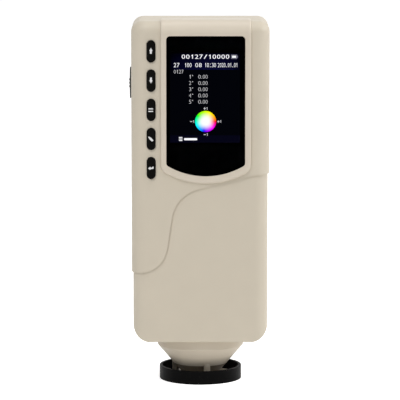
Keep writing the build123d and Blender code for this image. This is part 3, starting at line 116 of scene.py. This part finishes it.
# X and Z from the wheel's middle, and whether the sign is a plus
WHEEL_MARKS = ((0.12, 6.74, True), (0.17, -6.86, False), (-6.88, -0.06, False), (7.17, -0.06, True))
MARK_SHIFT = 0.6  # from a mark's middle to its sign on the left and its 1 on the right
MARK_STROKE = 0.36
MARK_SIGN_WIDTH, MARK_PLUS_HEIGHT = 1.1, 1.2
MARK_ONE_CELL, MARK_ONE_HEIGHT = 1.5, 1.3

# ---- Surfaces ----
NOISE_LOW, NOISE_HIGH = 0.3, 0.7  # most of a noise lies between these
PATCH = 14 * MM  # over which moulded plastic drifts in colour
GLOSS_PATCH = 2.5 * MM  # and in gloss
SPARK = 0.25 * MM  # feature size of a spark-eroded mould's grain
SPARK_HEIGHT = 0.006 * MM
HEAD_DARK_Z, HEAD_PLAIN_Z = 8.0 * MM, 13.5 * MM  # painted shade on the head: darkest below the first, plain above the second
HEAD_PAINTED_SHADE = 0.45  # share of the head's colour where its painted shade is darkest
BRUSHED = (30, 1, 1)  # brushed lines are this much longer along X

# ---- Camera, light and floor ----
CAMERA_LENS, CAMERA_SENSOR = 261.5, 36.0  # in mm
CAMERA_PLACE = (-0.18 * MM, -1526.5 * MM, 301.8 * MM)
CAMERA_TILT = 7.7  # degrees down
NEAREST_SEEN, FARTHEST_SEEN = 0.05, 50.0  # distances from the camera
LIGHT_TARGET = (0, 0, 0.1)
LIGHTS = (  # name, place, side of its square, power in watts
    ("key_light", (-0.75, -1.2, 1.6), 0.9, 18.1),
    ("side_light", (1.3, 0.1, 0.8), 0.6, 9),
    ("top_light", (0.1, -0.1, 1.6), 0.8, 5),
)
SURROUND_LEFT, SURROUND_RIGHT = 0.02, 0.6  # strength of the surround's light on the object
FLOOR_SIZE = 12.0
FLOOR_GREY = 0.9
FLOOR_GLOW = 0.72  # what the floor adds where it is seen
FLOOR_BOUNCE = 0.13  # and what it adds as light from below


def srgb(red, green, blue):
    """A display colour, 0 to 255 each, as the linear colour that a shader takes."""
    def linear(value):
        value /= 255
        return value / 12.92 if value <= 0.04045 else ((value + 0.055) / 1.055) ** 2.4
    return (linear(red), linear(green), linear(blue), 1.0)


# ---- Materials ----
class Surface:
    """A material of one Principled shader, with helpers that add procedural detail to it."""

    def __init__(self, name, colour, roughness, specular=0.5, metallic=0.0):
        self.material = bpy.data.materials.new(name)
        self.material.use_nodes = True
        self.tree = self.material.node_tree
        self.shader = self.tree.nodes["Principled BSDF"]
        self.colour = colour
        self.roughness = roughness
        self.set("Base Color", colour)
        self.set("Roughness", roughness)
        self.set("Specular IOR Level", specular)
        self.set("Metallic", metallic)
        self.place = self.add("ShaderNodeTexCoord").outputs["Object"]

    def add(self, kind, **settings):
        """A new node with its properties set."""
        node = self.tree.nodes.new(kind)
        for key, value in settings.items():
            setattr(node, key, value)
        return node

    def set(self, socket, value):
        self.shader.inputs[socket].default_value = value

    def link(self, output, socket):
        self.tree.links.new(output, socket)

    def noise(self, size, detail=3.0, stretch=(1, 1, 1)):
        """Noise whose features are about this large, in metres."""
        scaled = self.add("ShaderNodeMapping")
        scaled.inputs["Scale"].default_value = [1 / (size * s) for s in stretch]
        self.link(self.place, scaled.inputs["Vector"])
        node = self.add("ShaderNodeTexNoise")
        node.inputs["Scale"].default_value = 1.0
        node.inputs["Detail"].default_value = detail
        self.link(scaled.outputs["Vector"], node.inputs["Vector"])
        return node.outputs["Fac"]

    def spread(self, value, low, high):
        """A noise, mapped to a range."""
        node = self.add("ShaderNodeMapRange")
        node.inputs["From Min"].default_value = NOISE_LOW
        node.inputs["From Max"].default_value = NOISE_HIGH
        node.inputs["To Min"].default_value = low
        node.inputs["To Max"].default_value = high
        self.link(value, node.inputs["Value"])
        return node.outputs["Result"]

    def vary_colour(self, size, amount, stretch=(1, 1, 1)):
        """The colour drifts a little lighter and darker over patches of this size."""
        ramp = self.add("ShaderNodeValToRGB")
        ramp.color_ramp.elements[0].position = NOISE_LOW
        ramp.color_ramp.elements[1].position = NOISE_HIGH
        for element, factor in zip(ramp.color_ramp.elements, (1 - amount, 1 + amount)):
            element.color = [min(c * factor, 1.0) for c in self.colour[:3]] + [1.0]
        self.link(self.noise(size, stretch=stretch), ramp.inputs["Fac"])
        self.link(ramp.outputs["Color"], self.shader.inputs["Base Color"])

    def vary_roughness(self, size, amount, stretch=(1, 1, 1)):
        """The gloss drifts over patches of this size."""
        noise = self.noise(size, stretch=stretch)
        value = self.spread(noise, self.roughness - amount, self.roughness + amount)
        self.link(value, self.shader.inputs["Roughness"])

    def grain(self, size, height, stretch=(1, 1, 1)):
        """Relief of this feature size and height, in metres."""
        bump = self.add("ShaderNodeBump")
        bump.inputs["Strength"].default_value = 1.0
        bump.inputs["Distance"].default_value = height
        self.link(self.noise(size, stretch=stretch), bump.inputs["Height"])
        self.link(bump.outputs["Normal"], self.shader.inputs["Normal"])

    def paint_shade(self, axis, dark_end, plain_end, level):
        """Painted shade: the varied colour falls to a share of itself, its level, towards the dark end of
        an axis.
        """
        colour = self.shader.inputs["Base Color"].links[0].from_socket
        share = self.add("ShaderNodeMapRange")
        share.inputs["To Min"].default_value = level
        self.link(self.coordinate(axis, dark_end, plain_end), share.inputs["Value"])
        product = self.add("ShaderNodeMix", data_type="RGBA", blend_type="MULTIPLY")
        product.inputs["Factor"].default_value = 1.0
        self.link(colour, product.inputs["A"])
        self.link(share.outputs["Result"], product.inputs["B"])
        self.link(product.outputs["Result"], self.shader.inputs["Base Color"])

    def coordinate(self, axis, start, end):
        """A value that goes from 0 to 1 between two places along X, Y or Z."""
        parts = self.add("ShaderNodeSeparateXYZ")
        self.link(self.place, parts.inputs["Vector"])
        node = self.add("ShaderNodeMapRange")
        node.inputs["From Min"].default_value = start
        node.inputs["From Max"].default_value = end
        self.link(parts.outputs[axis], node.inputs["Value"])
        return node.outputs["Result"]

    def calculate(self, kind, first, second=0.0):
        """The result of a Math node on two outputs or numbers."""
        node = self.add("ShaderNodeMath", operation=kind)
        for socket, value in zip(node.inputs, (first, second)):
            if isinstance(value, float):
                socket.default_value = value
            else:
                self.link(value, socket)
        return node.outputs["Value"]


def moulded(name, colour, roughness, specular, height=SPARK_HEIGHT):
    """Injection-moulded plastic with a fine spark-eroded grain."""
    surface = Surface(name, colour, roughness, specular)
    surface.vary_colour(PATCH, 0.012)
    surface.vary_roughness(GLOSS_PATCH, 0.04)
    surface.grain(SPARK, height)
    return surface


def brushed(name, colour, roughness):
    """Metal with fine lines along X."""
    surface = Surface(name, colour, roughness, metallic=1.0)
    surface.vary_colour(0.15 * MM, 0.06, BRUSHED)
    surface.vary_roughness(0.15 * MM, 0.06, BRUSHED)
    surface.grain(0.1 * MM, 0.002 * MM, BRUSHED)
    return surface


def clear(name, colour, roughness, share, bending=1.5):
    """A surface that lets this share of the light through and bends it."""
    surface = Surface(name, colour, roughness)
    surface.set("Transmission Weight", share)
    surface.set("IOR", bending)
    return surface


def matt(name, colour, roughness=0.5):
    """A surface that has no highlight."""
    return Surface(name, colour, roughness, specular=0.0)


def shell_plastic():
    return moulded("shell_plastic", srgb(205, 195, 177), roughness=0.45, specular=0.38)


def bezel_plastic():
    return moulded("bezel_plastic", srgb(210, 199, 182), roughness=0.36, specular=0.42, height=0.004 * MM)


def head_plastic():
    """The shell's plastic, with painted shade that darkens it round the head's lower rim."""
    surface = moulded("head_plastic", srgb(203, 192, 174), roughness=0.5, specular=0.3)
    surface.paint_shade("Z", HEAD_DARK_Z, HEAD_PLAIN_Z, HEAD_PAINTED_SHADE)
    return surface


def window_glass():
    """Clear glass whose antireflection coat keeps the room out of it, except at a slant."""
    surface = clear("window_glass", (1, 1, 1, 1), roughness=0.0, share=1.0, bending=1.15)
    surface.set("Specular Tint", (0, 0, 0, 1))
    return surface


def display_glass():
    surface = matt("display_glass", srgb(6, 6, 8), roughness=0.3)
    surface.vary_roughness(5 * MM, 0.03)
    return surface


def key_rubber():
    surface = Surface("key_rubber", srgb(9, 8, 6), roughness=0.45, specular=0.04)
    surface.vary_roughness(0.8 * MM, 0.05)
    surface.grain(0.12 * MM, 0.003 * MM)
    return surface


def slider_plastic():
    return moulded("slider_plastic", srgb(66, 66, 64), roughness=0.6, specular=0.02)


def ring_plastic():
    surface = Surface("ring_plastic", srgb(5, 5, 5), roughness=0.45, specular=0.04)
    surface.vary_roughness(1.5 * MM, 0.05)
    surface.grain(0.2 * MM, 0.004 * MM)
    return surface


def black_plastic():
    return moulded("black_plastic", srgb(22, 20, 17), roughness=0.55, specular=0.1)


# Painted shade: a dull brown for the tip, which stands for beige in the deep shade inside the ring.
def tip_plastic():
    return moulded("tip_plastic", srgb(84, 75, 61), roughness=0.6, specular=0.1)


def pale_plastic():
    return moulded("pale_plastic", srgb(236, 235, 231), roughness=0.5, specular=0.3)


def white_lining():
    surface = Surface("white_lining", srgb(243, 243, 240), roughness=0.9, specular=0.1)
    surface.vary_colour(3 * MM, 0.01)
    surface.grain(0.1 * MM, 0.01 * MM)
    return surface


def silicone():
    return moulded("silicone", srgb(150, 150, 148), roughness=0.6, specular=0.3)


def foam():
    surface = Surface("foam", srgb(38, 38, 38), roughness=0.95, specular=0.05)
    surface.vary_colour(0.5 * MM, 0.2)
    surface.grain(0.3 * MM, 0.08 * MM)
    return surface


def board_laminate():
    surface = Surface("board_laminate", srgb(18, 84, 46), roughness=0.35)
    surface.vary_colour(1.5 * MM, 0.12)
    surface.grain(0.4 * MM, 0.01 * MM)
    return surface


def ribbon_film():
    """Amber film with fine conductors that run along the ribbon."""
    surface = Surface("ribbon_film", srgb(176, 98, 34), roughness=0.3)
    surface.vary_colour(0.6 * MM, 0.1, stretch=(1, 30, 30))
    return surface


def steel():
    return brushed("steel", srgb(190, 191, 193), roughness=0.32)


def tin_plate():
    return brushed("tin_plate", srgb(205, 205, 202), roughness=0.28)


def brass():
    return brushed("brass", srgb(212, 178, 108), roughness=0.3)


def battery_wrap():
    surface = Surface("battery_wrap", srgb(40, 70, 130), roughness=0.25)
    surface.vary_roughness(6 * MM, 0.05)
    surface.grain(8 * MM, 0.03 * MM)
    return surface


def lens_glass():
    return clear("lens_glass", (0.95, 0.98, 1.0, 1.0), roughness=0.02, share=1.0, bending=1.52)


def lamp_resin():
    return clear("lamp_resin", srgb(246, 246, 226), roughness=0.15, share=0.6)


MAKERS = (
    shell_plastic, bezel_plastic, head_plastic, window_glass, display_glass, key_rubber,
    slider_plastic, ring_plastic, black_plastic, tip_plastic, pale_plastic, white_lining, silicone, foam,
    board_laminate, ribbon_film, steel, tin_plate, brass, battery_wrap, lens_glass, lamp_resin,
)
finishes = {maker.__name__: maker() for maker in MAKERS}


def dress_nodes():
    """Every CAD node gets the finish that its record entry names, and the tip a brown of its own, which
    paints the deep shade inside the ring.
    """
    for entry in frame["record"]["subparts"]:
        node = frame["nodes"][entry["node"]]
        finish = "tip_plastic" if entry["node"] == "aperture_tip" else entry["material_slot"]
        for material_slot in node.material_slots:
            material_slot.material = finishes[finish].material


dress_nodes()


# ---- Printed and lit shapes: outlines of (x, z), counterclockwise as seen from the front ----
def arc(middle_x, middle_z, radius, start, end, steps=ROUND_STEPS):
    """Points on a circle between two angles in degrees, both ends included."""
    points = []
    for step in range(steps + 1):
        angle = math.radians(start + (end - start) * step / steps)
        points.append((middle_x + radius * math.cos(angle), middle_z + radius * math.sin(angle)))
    return points


def disc(middle_x, middle_z, radius, sides):
    """A whole circle with this many corners."""
    return arc(middle_x, middle_z, radius, 0, 360 * (sides - 1) / sides, sides - 1)


def bar(left, right, bottom, top, radius=0.0):
    """A rectangle, with round corners where a radius is given."""
    if not radius:
        return [(left, bottom), (right, bottom), (right, top), (left, top)]
    left, right = left + radius, right - radius
    bottom, top = bottom + radius, top - radius
    corners = ((right, bottom, -90), (right, top, 0), (left, top, 90), (left, bottom, 180))
    return [point for x, z, start in corners for point in arc(x, z, radius, start, start + 90)]


def add_plate(mesh, outline, origin, layer):
    """A closed plate of this outline in mm round an origin (x, z), through a layer (front, back) of Y."""
    front, back = [
        [mesh.verts.new((origin[0] + x * MM, y, origin[1] + z * MM)) for x, z in outline] for y in layer
    ]
    mesh.faces.new(front)
    mesh.faces.new(back[::-1])
    for index in range(len(outline)):
        following = (index + 1) % len(outline)
        mesh.faces.new((front[following], front[index], back[index], back[following]))


def display_x(x):
    """The frame's X of a place on the display."""
    return window_centre_x + x * MM


def display_z(z):
    """The frame's Z of a place on the display."""
    return window_top_z + z * MM


def add_lit(mesh, outline, layer=PIXEL_LAYER):
    """A plate that lies in a layer of the display."""
    add_plate(mesh, outline, (display_x(0), display_z(0)), layer)


def add_numeral(mesh, sign, box, weight):
    """A numeral from Blender's own font, turned to the front and fitted into a box of the display."""
    left, right, bottom, top = box
    curve = bpy.data.curves.new("numerals", "FONT")
    curve.body = sign
    curve.resolution_u = FONT_STEPS
    curve.extrude = 1.0
    curve.offset = weight
    holder = bpy.data.objects.new("numerals", curve)
    flat = bpy.data.meshes.new_from_object(holder)
    xs = [vertex.co.x for vertex in flat.vertices]
    ys = [vertex.co.y for vertex in flat.vertices]
    wide = (right - left) / (max(xs) - min(xs))
    high = (top - bottom) / (max(ys) - min(ys))
    for vertex in flat.vertices:
        x = left + (vertex.co.x - min(xs)) * wide
        z = bottom + (vertex.co.y - min(ys)) * high
        depth = PIXEL_LAYER[0] if vertex.co.z > 0 else PIXEL_LAYER[1]
        vertex.co = (display_x(x), depth, display_z(z))
    mesh.from_mesh(flat)
    bpy.data.objects.remove(holder)
    bpy.data.curves.remove(curve)
    bpy.data.meshes.remove(flat)


def figure_one(middle, cell, bottom, top):
    """The outline of a plain 1: an upright stroke with a slanting flag."""
    right = middle + ONE_STROKE * cell
    flag_left = middle - ONE_FLAG * cell
    flag_top = top - FLAG_TOP * (top - bottom)
    flag_foot = top - FLAG_FOOT * (top - bottom)
    return [(right, bottom), (right, top), (middle, top), (flag_left, flag_top), (flag_left, flag_foot),
            (middle, flag_top), (middle, bottom)]


def add_line(mesh, text, box, weight):
    """Numerals and signs in cells of equal width, so that they stay apart when they are small."""
    left, right, bottom, top = box
    cell = (right - left) / len(text)
    half = cell * SIGN_SHARE / 2
    dot = DOT_SHARE * (top - bottom)
    for place, sign in enumerate(text):
        middle = left + (place + 0.5) * cell
        if sign in ".:":
            heights = (bottom, top - 2 * dot) if sign == ":" else (bottom,)
            for height in heights:
                add_lit(mesh, bar(middle - dot / 2, middle + dot / 2, height, height + dot))
        elif sign == "1":
            add_lit(mesh, figure_one(middle, cell, bottom, top))
        else:
            add_numeral(mesh, sign, (middle - half, middle + half, bottom, top), weight)


def make_piece(name, mesh, finish, body):
    """A visible piece from a bmesh, which rides on a body of the model."""
    bmesh.ops.remove_doubles(mesh, verts=mesh.verts, dist=WELD)
    bmesh.ops.recalc_face_normals(mesh, faces=mesh.faces)
    data = bpy.data.meshes.new(name)
    mesh.to_mesh(data)
    mesh.free()
    data.materials.append(finish.material)
    piece = bpy.data.objects.new(name, data)
    bpy.context.scene.collection.objects.link(piece)
    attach(piece, body)


def show(name, mesh, finish):
    """A piece that belongs to the display."""
    make_piece(name, mesh, finish, "instrument")


# ---- The display ----
def mask_print():
    """Black ink on the back of the window."""
    surface = matt("mask_print", srgb(1, 1, 2), roughness=0.7)
    surface.vary_roughness(2 * MM, 0.05)
    return surface


def lit_pixels(name, colour, strength=1.0):
    """Light from the display, a little uneven from dot to dot."""
    surface = matt(name, (0, 0, 0, 1))
    surface.set("Emission Color", colour)
    dots = surface.spread(surface.noise(PIXEL_PITCH, detail=1.0), DIMMEST_DOT * strength, strength)
    surface.link(dots, surface.shader.inputs["Emission Strength"])
    return surface


def header_light():
    """The header band is brightest in its lower middle and fades to its top and ends."""
    surface = matt("header_light", (0, 0, 0, 1))
    surface.set("Emission Color", srgb(9, 9, 44))
    left = surface.coordinate("X", display_x(AREA_LEFT), display_x(FULL_LEFT))
    right = surface.coordinate("X", display_x(AREA_RIGHT), display_x(FULL_RIGHT))
    rise = surface.coordinate("Z", display_z(HEADER_TOP), display_z(HEADER_BOTTOM))
    sides = surface.calculate("SQRT", surface.calculate("MULTIPLY", left, right))
    soft = surface.calculate("MULTIPLY", sides, surface.calculate("SQRT", rise))
    surface.link(soft, surface.shader.inputs["Emission Strength"])
    return surface


def wheel_light():
    """Hues round the wheel, which fade to white in its middle."""
    surface = matt("wheel_light", (0, 0, 0, 1))
    parts = surface.add("ShaderNodeSeparateXYZ")
    surface.link(surface.place, parts.inputs["Vector"])
    x = surface.calculate("SUBTRACT", parts.outputs["X"], display_x(WHEEL_X))
    z = surface.calculate("SUBTRACT", parts.outputs["Z"], display_z(WHEEL_Z))
    turn = surface.calculate("DIVIDE", surface.calculate("ARCTAN2", z, x), 2 * math.pi)
    hues = surface.add("ShaderNodeValToRGB")
    stops = hues.color_ramp.elements
    stops[0].color = stops[1].color = srgb(*WHEEL_HUES[0][1])
    for place, colour in WHEEL_HUES[1:]:
        stop = stops.new(place)
        stop.color = srgb(*colour)
    surface.link(surface.calculate("FRACT", turn), hues.inputs["Fac"])
    squares = [surface.calculate("MULTIPLY", side, side) for side in (x, z)]
    distance = surface.calculate("SQRT", surface.calculate("ADD", *squares))
    fade = surface.add("ShaderNodeMapRange", interpolation_type="SMOOTHSTEP")
    fade.inputs["From Min"].default_value = WHEEL_WHITE * MM
    fade.inputs["From Max"].default_value = WHEEL_PURE * MM
    surface.link(distance, fade.inputs["Value"])
    mix = surface.add("ShaderNodeMix", data_type="RGBA")
    mix.inputs["A"].default_value = (1, 1, 1, 1)
    surface.link(fade.outputs["Result"], mix.inputs["Factor"])
    surface.link(hues.outputs["Color"], mix.inputs["B"])
    surface.link(mix.outputs["Result"], surface.shader.inputs["Emission Color"])
    surface.set("Emission Strength", 1.0)
    return surface


def make_mask():
    """The window's back face again, a hair behind it and thick enough to be closed."""
    mesh = bmesh.new()
    mesh.from_mesh(frame["nodes"]["display_window"].data)
    bmesh.ops.remove_doubles(mesh, verts=mesh.verts, dist=WELD)
    others = [face for face in mesh.faces if face.normal.y < FACES_BACK]
    bmesh.ops.delete(mesh, geom=others, context="FACES")
    for vertex in mesh.verts:
        vertex.co.y = glass_back_y + MASK_GAP
    bmesh.ops.solidify(mesh, geom=mesh.faces, thickness=MASK_THICKNESS)
    low = min(vertex.co.y for vertex in mesh.verts)
    for vertex in mesh.verts:
        vertex.co.y += glass_back_y + MASK_GAP - low
    show("window_print", mesh, mask_print())


def show_bands():
    """A dark blue header with a rule below it, the dark area that holds the readings, and a footer."""
    bands = (
        ("display_header", (AREA_LEFT, AREA_RIGHT, HEADER_BOTTOM, HEADER_TOP), header_light()),
        ("display_area", (AREA_LEFT, AREA_RIGHT, FOOTER_TOP, HEADER_BOTTOM),
         lit_pixels("dark_pixels", srgb(3, 4, 9))),
        ("display_footer", (AREA_LEFT, AREA_RIGHT, FOOTER_BOTTOM, FOOTER_TOP),
         lit_pixels("footer_pixels", srgb(6, 6, 22))),
        ("display_rules", RULE_BOX, lit_pixels("rule_pixels", srgb(40, 44, 120))),
    )
    for name, box, finish in bands:
        mesh = bmesh.new()
        add_lit(mesh, bar(*box), BAND_LAYER)
        show(name, mesh, finish)


def show_battery():
    """The battery sign: a case of four strokes with a nose at its right, and its charge."""
    left, right, bottom, top = BATTERY_LEFT, BATTERY_RIGHT, BATTERY_BOTTOM, BATTERY_TOP
    low, high = bottom + BATTERY_STROKE, top - BATTERY_STROKE
    middle = (bottom + top) / 2
    nose = BATTERY_NOSE_HEIGHT / 2
    strokes = (
        (left, right, high, top),
        (left, right, bottom, low),
        (left, left + BATTERY_STROKE, low, high),
        (right - BATTERY_STROKE, right, low, high),
        (right, right + BATTERY_NOSE_LENGTH, middle - nose, middle + nose),
    )
    case = bmesh.new()
    for box in strokes:
        add_lit(case, bar(*box))
    show("battery_sign_case", case, lit_pixels("case_pixels", srgb(120, 120, 140)))

    charge = bmesh.new()
    inset = CHARGE_INSET
    add_lit(charge, bar(left + inset, right - inset, bottom + inset, top - inset))
    show("battery_sign_charge", charge, lit_pixels("charge_pixels", srgb(250, 250, 250)))


def show_bright_signs():
    """The headline, the header's entries, and the footer's menu sign and label."""
    mesh = bmesh.new()
    add_line(mesh, HEADLINE, HEADLINE_BOX, HEADLINE_WEIGHT)
    for text, left, right in HEADER_ENTRIES:
        add_line(mesh, text, (left, right, ENTRY_BOTTOM, ENTRY_TOP), HEADER_WEIGHT)
    for index in range(MENU_BARS):
        bottom = MENU_BOTTOM + index * MENU_PITCH
        add_lit(mesh, bar(*MENU_SPAN, bottom, bottom + MENU_STROKE))
    add_lit(mesh, bar(*LABEL_BOX, LABEL_RADIUS))
    show("display_bright_signs", mesh, lit_pixels("bright_pixels", srgb(236, 236, 240), 1.3))


def add_mark(mesh, x, z, plus):
    """A plus or a minus with a 1, at the end of one of the wheel's axes."""
    sign_x = x - MARK_SHIFT
    half = MARK_STROKE / 2
    add_lit(mesh, bar(sign_x - MARK_SIGN_WIDTH / 2, sign_x + MARK_SIGN_WIDTH / 2, z - half, z + half))
    if plus:
        add_lit(mesh, bar(sign_x - half, sign_x + half, z - MARK_PLUS_HEIGHT / 2, z - half))
        add_lit(mesh, bar(sign_x - half, sign_x + half, z + half, z + MARK_PLUS_HEIGHT / 2))
    half_high = MARK_ONE_HEIGHT / 2
    add_lit(mesh, figure_one(x + MARK_SHIFT, MARK_ONE_CELL, z - half_high, z + half_high))


def show_values():
    """The count below the header, five numbered rows of readings, and the marks round the wheel."""
    mesh = bmesh.new()
    add_line(mesh, COUNT, COUNT_BOX, VALUE_WEIGHT)
    for row in range(ROWS):
        top = FIRST_ROW_TOP - row * ROW_PITCH
        bottom = top - ROW_HEIGHT
        add_line(mesh, str(row + 1), (*ROW_NUMBER, bottom, top), VALUE_WEIGHT)
        add_lit(mesh, disc(RING_X, top - RING_DROP, RING_RADIUS, RING_SIDES))
        add_line(mesh, "0", (*ROW_UNITS, bottom, top), VALUE_WEIGHT)
        add_lit(mesh, bar(*ROW_POINT, bottom, bottom + POINT_HEIGHT))
        add_line(mesh, "00", (*ROW_DECIMALS, bottom, top), VALUE_WEIGHT)
    for x, z, plus in WHEEL_MARKS:
        add_mark(mesh, WHEEL_X + x, WHEEL_Z + z, plus)
    show("display_values", mesh, lit_pixels("thin_pixels", srgb(225, 225, 228), 0.85))


def show_wheel():
    """The wheel of hues in the lower half of the display."""
    mesh = bmesh.new()
    add_lit(mesh, disc(WHEEL_X, WHEEL_Z, WHEEL_RADIUS, WHEEL_SIDES))
    show("display_wheel", mesh, wheel_light())


make_mask()
show_bands()
show_battery()
show_bright_signs()
show_values()
show_wheel()


# ---- Print on the keys: outlines in mm from each key's middle ----
ARROW_UP = [(-0.5, -1.2), (0.5, -1.2), (0.5, 0.3), (0.92, 0.36), (0.0, 1.9), (-0.92, 0.36), (-0.5, 0.3)]
ARROW_DOWN_LIFT = 0.55  # the arrow is turned upside down, then moved up by this
ARROW_DOWN = [(-x, ARROW_DOWN_LIFT - z) for x, z in ARROW_UP]
UPPER_BAR, LOWER_BAR = bar(-1.35, 1.05, 0.33, 0.97), bar(-1.35, 1.05, -0.99, -0.4)
PEN = [(-1.5, 1.12), (-0.95, 0.1), (0.45, -1.3), (1.25, -0.6), (-0.1, 0.9), (-1.2, 1.4)]
RETURN_ARROW = [
    (-1.65, 0.0), (-0.5, -0.85), (-0.25, -0.45), (1.0, -0.32), (1.3, -0.05), (1.3, 0.85),
    (0.7, 0.85), (0.4, 0.38), (-0.3, 0.42), (-0.5, 0.82),
]
KEY_PRINT = {
    "key_up": [ARROW_UP],
    "key_down": [ARROW_DOWN],
    "key_equals": [UPPER_BAR, LOWER_BAR],
    "key_edit": [PEN],
    "key_back": [RETURN_ARROW],
}


def key_ink():
    """White ink on rubber."""
    surface = Surface("key_ink", srgb(226, 226, 226), roughness=0.55, specular=0.2)
    surface.vary_colour(0.5 * MM, 0.03)
    surface.grain(0.12 * MM, 0.002 * MM)
    return surface


def print_keys():
    """One printed sign on each key, which moves with it."""
    ink = key_ink()
    for key, outlines in KEY_PRINT.items():
        low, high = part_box(key)
        origin = ((low.x + high.x) / 2, (low.z + high.z) / 2)
        mesh = bmesh.new()
        for outline in outlines:
            add_plate(mesh, outline, origin, (low.y - ICON_PROUD, low.y + ICON_ROOT))
        make_piece("print_" + key, mesh, ink, key)


print_keys()


# ---- Camera, light and floor ----
def aim_camera():
    """A long lens in front of the instrument, a little above it."""
    data = bpy.data.cameras.new("camera")
    data.lens = CAMERA_LENS
    data.sensor_width = CAMERA_SENSOR
    data.clip_start = NEAREST_SEEN
    data.clip_end = FARTHEST_SEEN
    camera = bpy.data.objects.new("camera", data)
    camera.location = CAMERA_PLACE
    camera.rotation_euler = (math.radians(90 - CAMERA_TILT), 0, 0)
    bpy.context.scene.collection.objects.link(camera)
    bpy.context.scene.camera = camera


def area_light(name, place, size, power):
    """A square soft light aimed at the object."""
    data = bpy.data.lights.new(name, "AREA")
    data.shape = "SQUARE"
    data.size = size
    data.energy = power
    light = bpy.data.objects.new(name, data)
    light.location = place
    way = Vector(LIGHT_TARGET) - Vector(place)
    light.rotation_euler = way.to_track_quat("-Z", "Y").to_euler()
    bpy.context.scene.collection.objects.link(light)


def white_where_seen(nodes, links):
    """An output that is 1 for camera, glossy and transmission rays, and 0 for the rest."""
    path = nodes.new("ShaderNodeLightPath")
    mirrored = nodes.new("ShaderNodeMath")
    mirrored.operation = "MAXIMUM"
    links.new(path.outputs["Is Glossy Ray"], mirrored.inputs[0])
    links.new(path.outputs["Is Transmission Ray"], mirrored.inputs[1])
    seen = nodes.new("ShaderNodeMath")
    seen.operation = "MAXIMUM"
    links.new(path.outputs["Is Camera Ray"], seen.inputs[0])
    links.new(mirrored.outputs["Value"], seen.inputs[1])
    return seen.outputs["Value"]


def light_world():
    """A white surround where it is seen, and for light a grey one that is brighter at its right."""
    world = bpy.data.worlds.new("studio")
    world.use_nodes = True
    nodes, links = world.node_tree.nodes, world.node_tree.links
    background = nodes["Background"]
    direction = nodes.new("ShaderNodeSeparateXYZ")
    links.new(nodes.new("ShaderNodeTexCoord").outputs["Generated"], direction.inputs["Vector"])
    across = nodes.new("ShaderNodeMapRange")
    across.inputs["From Min"].default_value = -1.0
    across.inputs["To Min"].default_value = SURROUND_LEFT
    across.inputs["To Max"].default_value = SURROUND_RIGHT
    links.new(direction.outputs["X"], across.inputs["Value"])
    strength = nodes.new("ShaderNodeMapRange")
    strength.inputs["To Max"].default_value = 1.0
    links.new(white_where_seen(nodes, links), strength.inputs["Value"])
    links.new(across.outputs["Result"], strength.inputs["To Min"])
    background.inputs["Color"].default_value = (1, 1, 1, 1)
    links.new(strength.outputs["Result"], background.inputs["Strength"])
    bpy.context.scene.world = world


def floor_material():
    """A pale floor that is white where the light is open and keeps the object's shadow."""
    material = bpy.data.materials.new("floor")
    material.use_nodes = True
    nodes, links = material.node_tree.nodes, material.node_tree.links
    shader = nodes["Principled BSDF"]
    shader.inputs["Base Color"].default_value = (FLOOR_GREY, FLOOR_GREY, FLOOR_GREY, 1)
    shader.inputs["Roughness"].default_value = 0.9
    shader.inputs["Specular IOR Level"].default_value = 0.0
    glow = nodes.new("ShaderNodeMapRange")
    glow.inputs["To Min"].default_value = FLOOR_BOUNCE
    glow.inputs["To Max"].default_value = FLOOR_GLOW
    links.new(white_where_seen(nodes, links), glow.inputs["Value"])
    shader.inputs["Emission Color"].default_value = (1, 1, 1, 1)
    links.new(glow.outputs["Result"], shader.inputs["Emission Strength"])
    return material


def lay_floor():
    """A large plain sheet that the ring stands on."""
    mesh = bpy.data.meshes.new("floor")
    half = FLOOR_SIZE / 2
    corners = [(-half, -half, 0), (half, -half, 0), (half, half, 0), (-half, half, 0)]
    mesh.from_pydata(corners, [], [(0, 1, 2, 3)])
    mesh.materials.append(floor_material())
    floor = bpy.data.objects.new("floor", mesh)
    bpy.context.scene.collection.objects.link(floor)


aim_camera()
light_world()
for light_settings in LIGHTS:
    area_light(*light_settings)
lay_floor()
bpy.context.scene.view_settings.view_transform = "Standard"
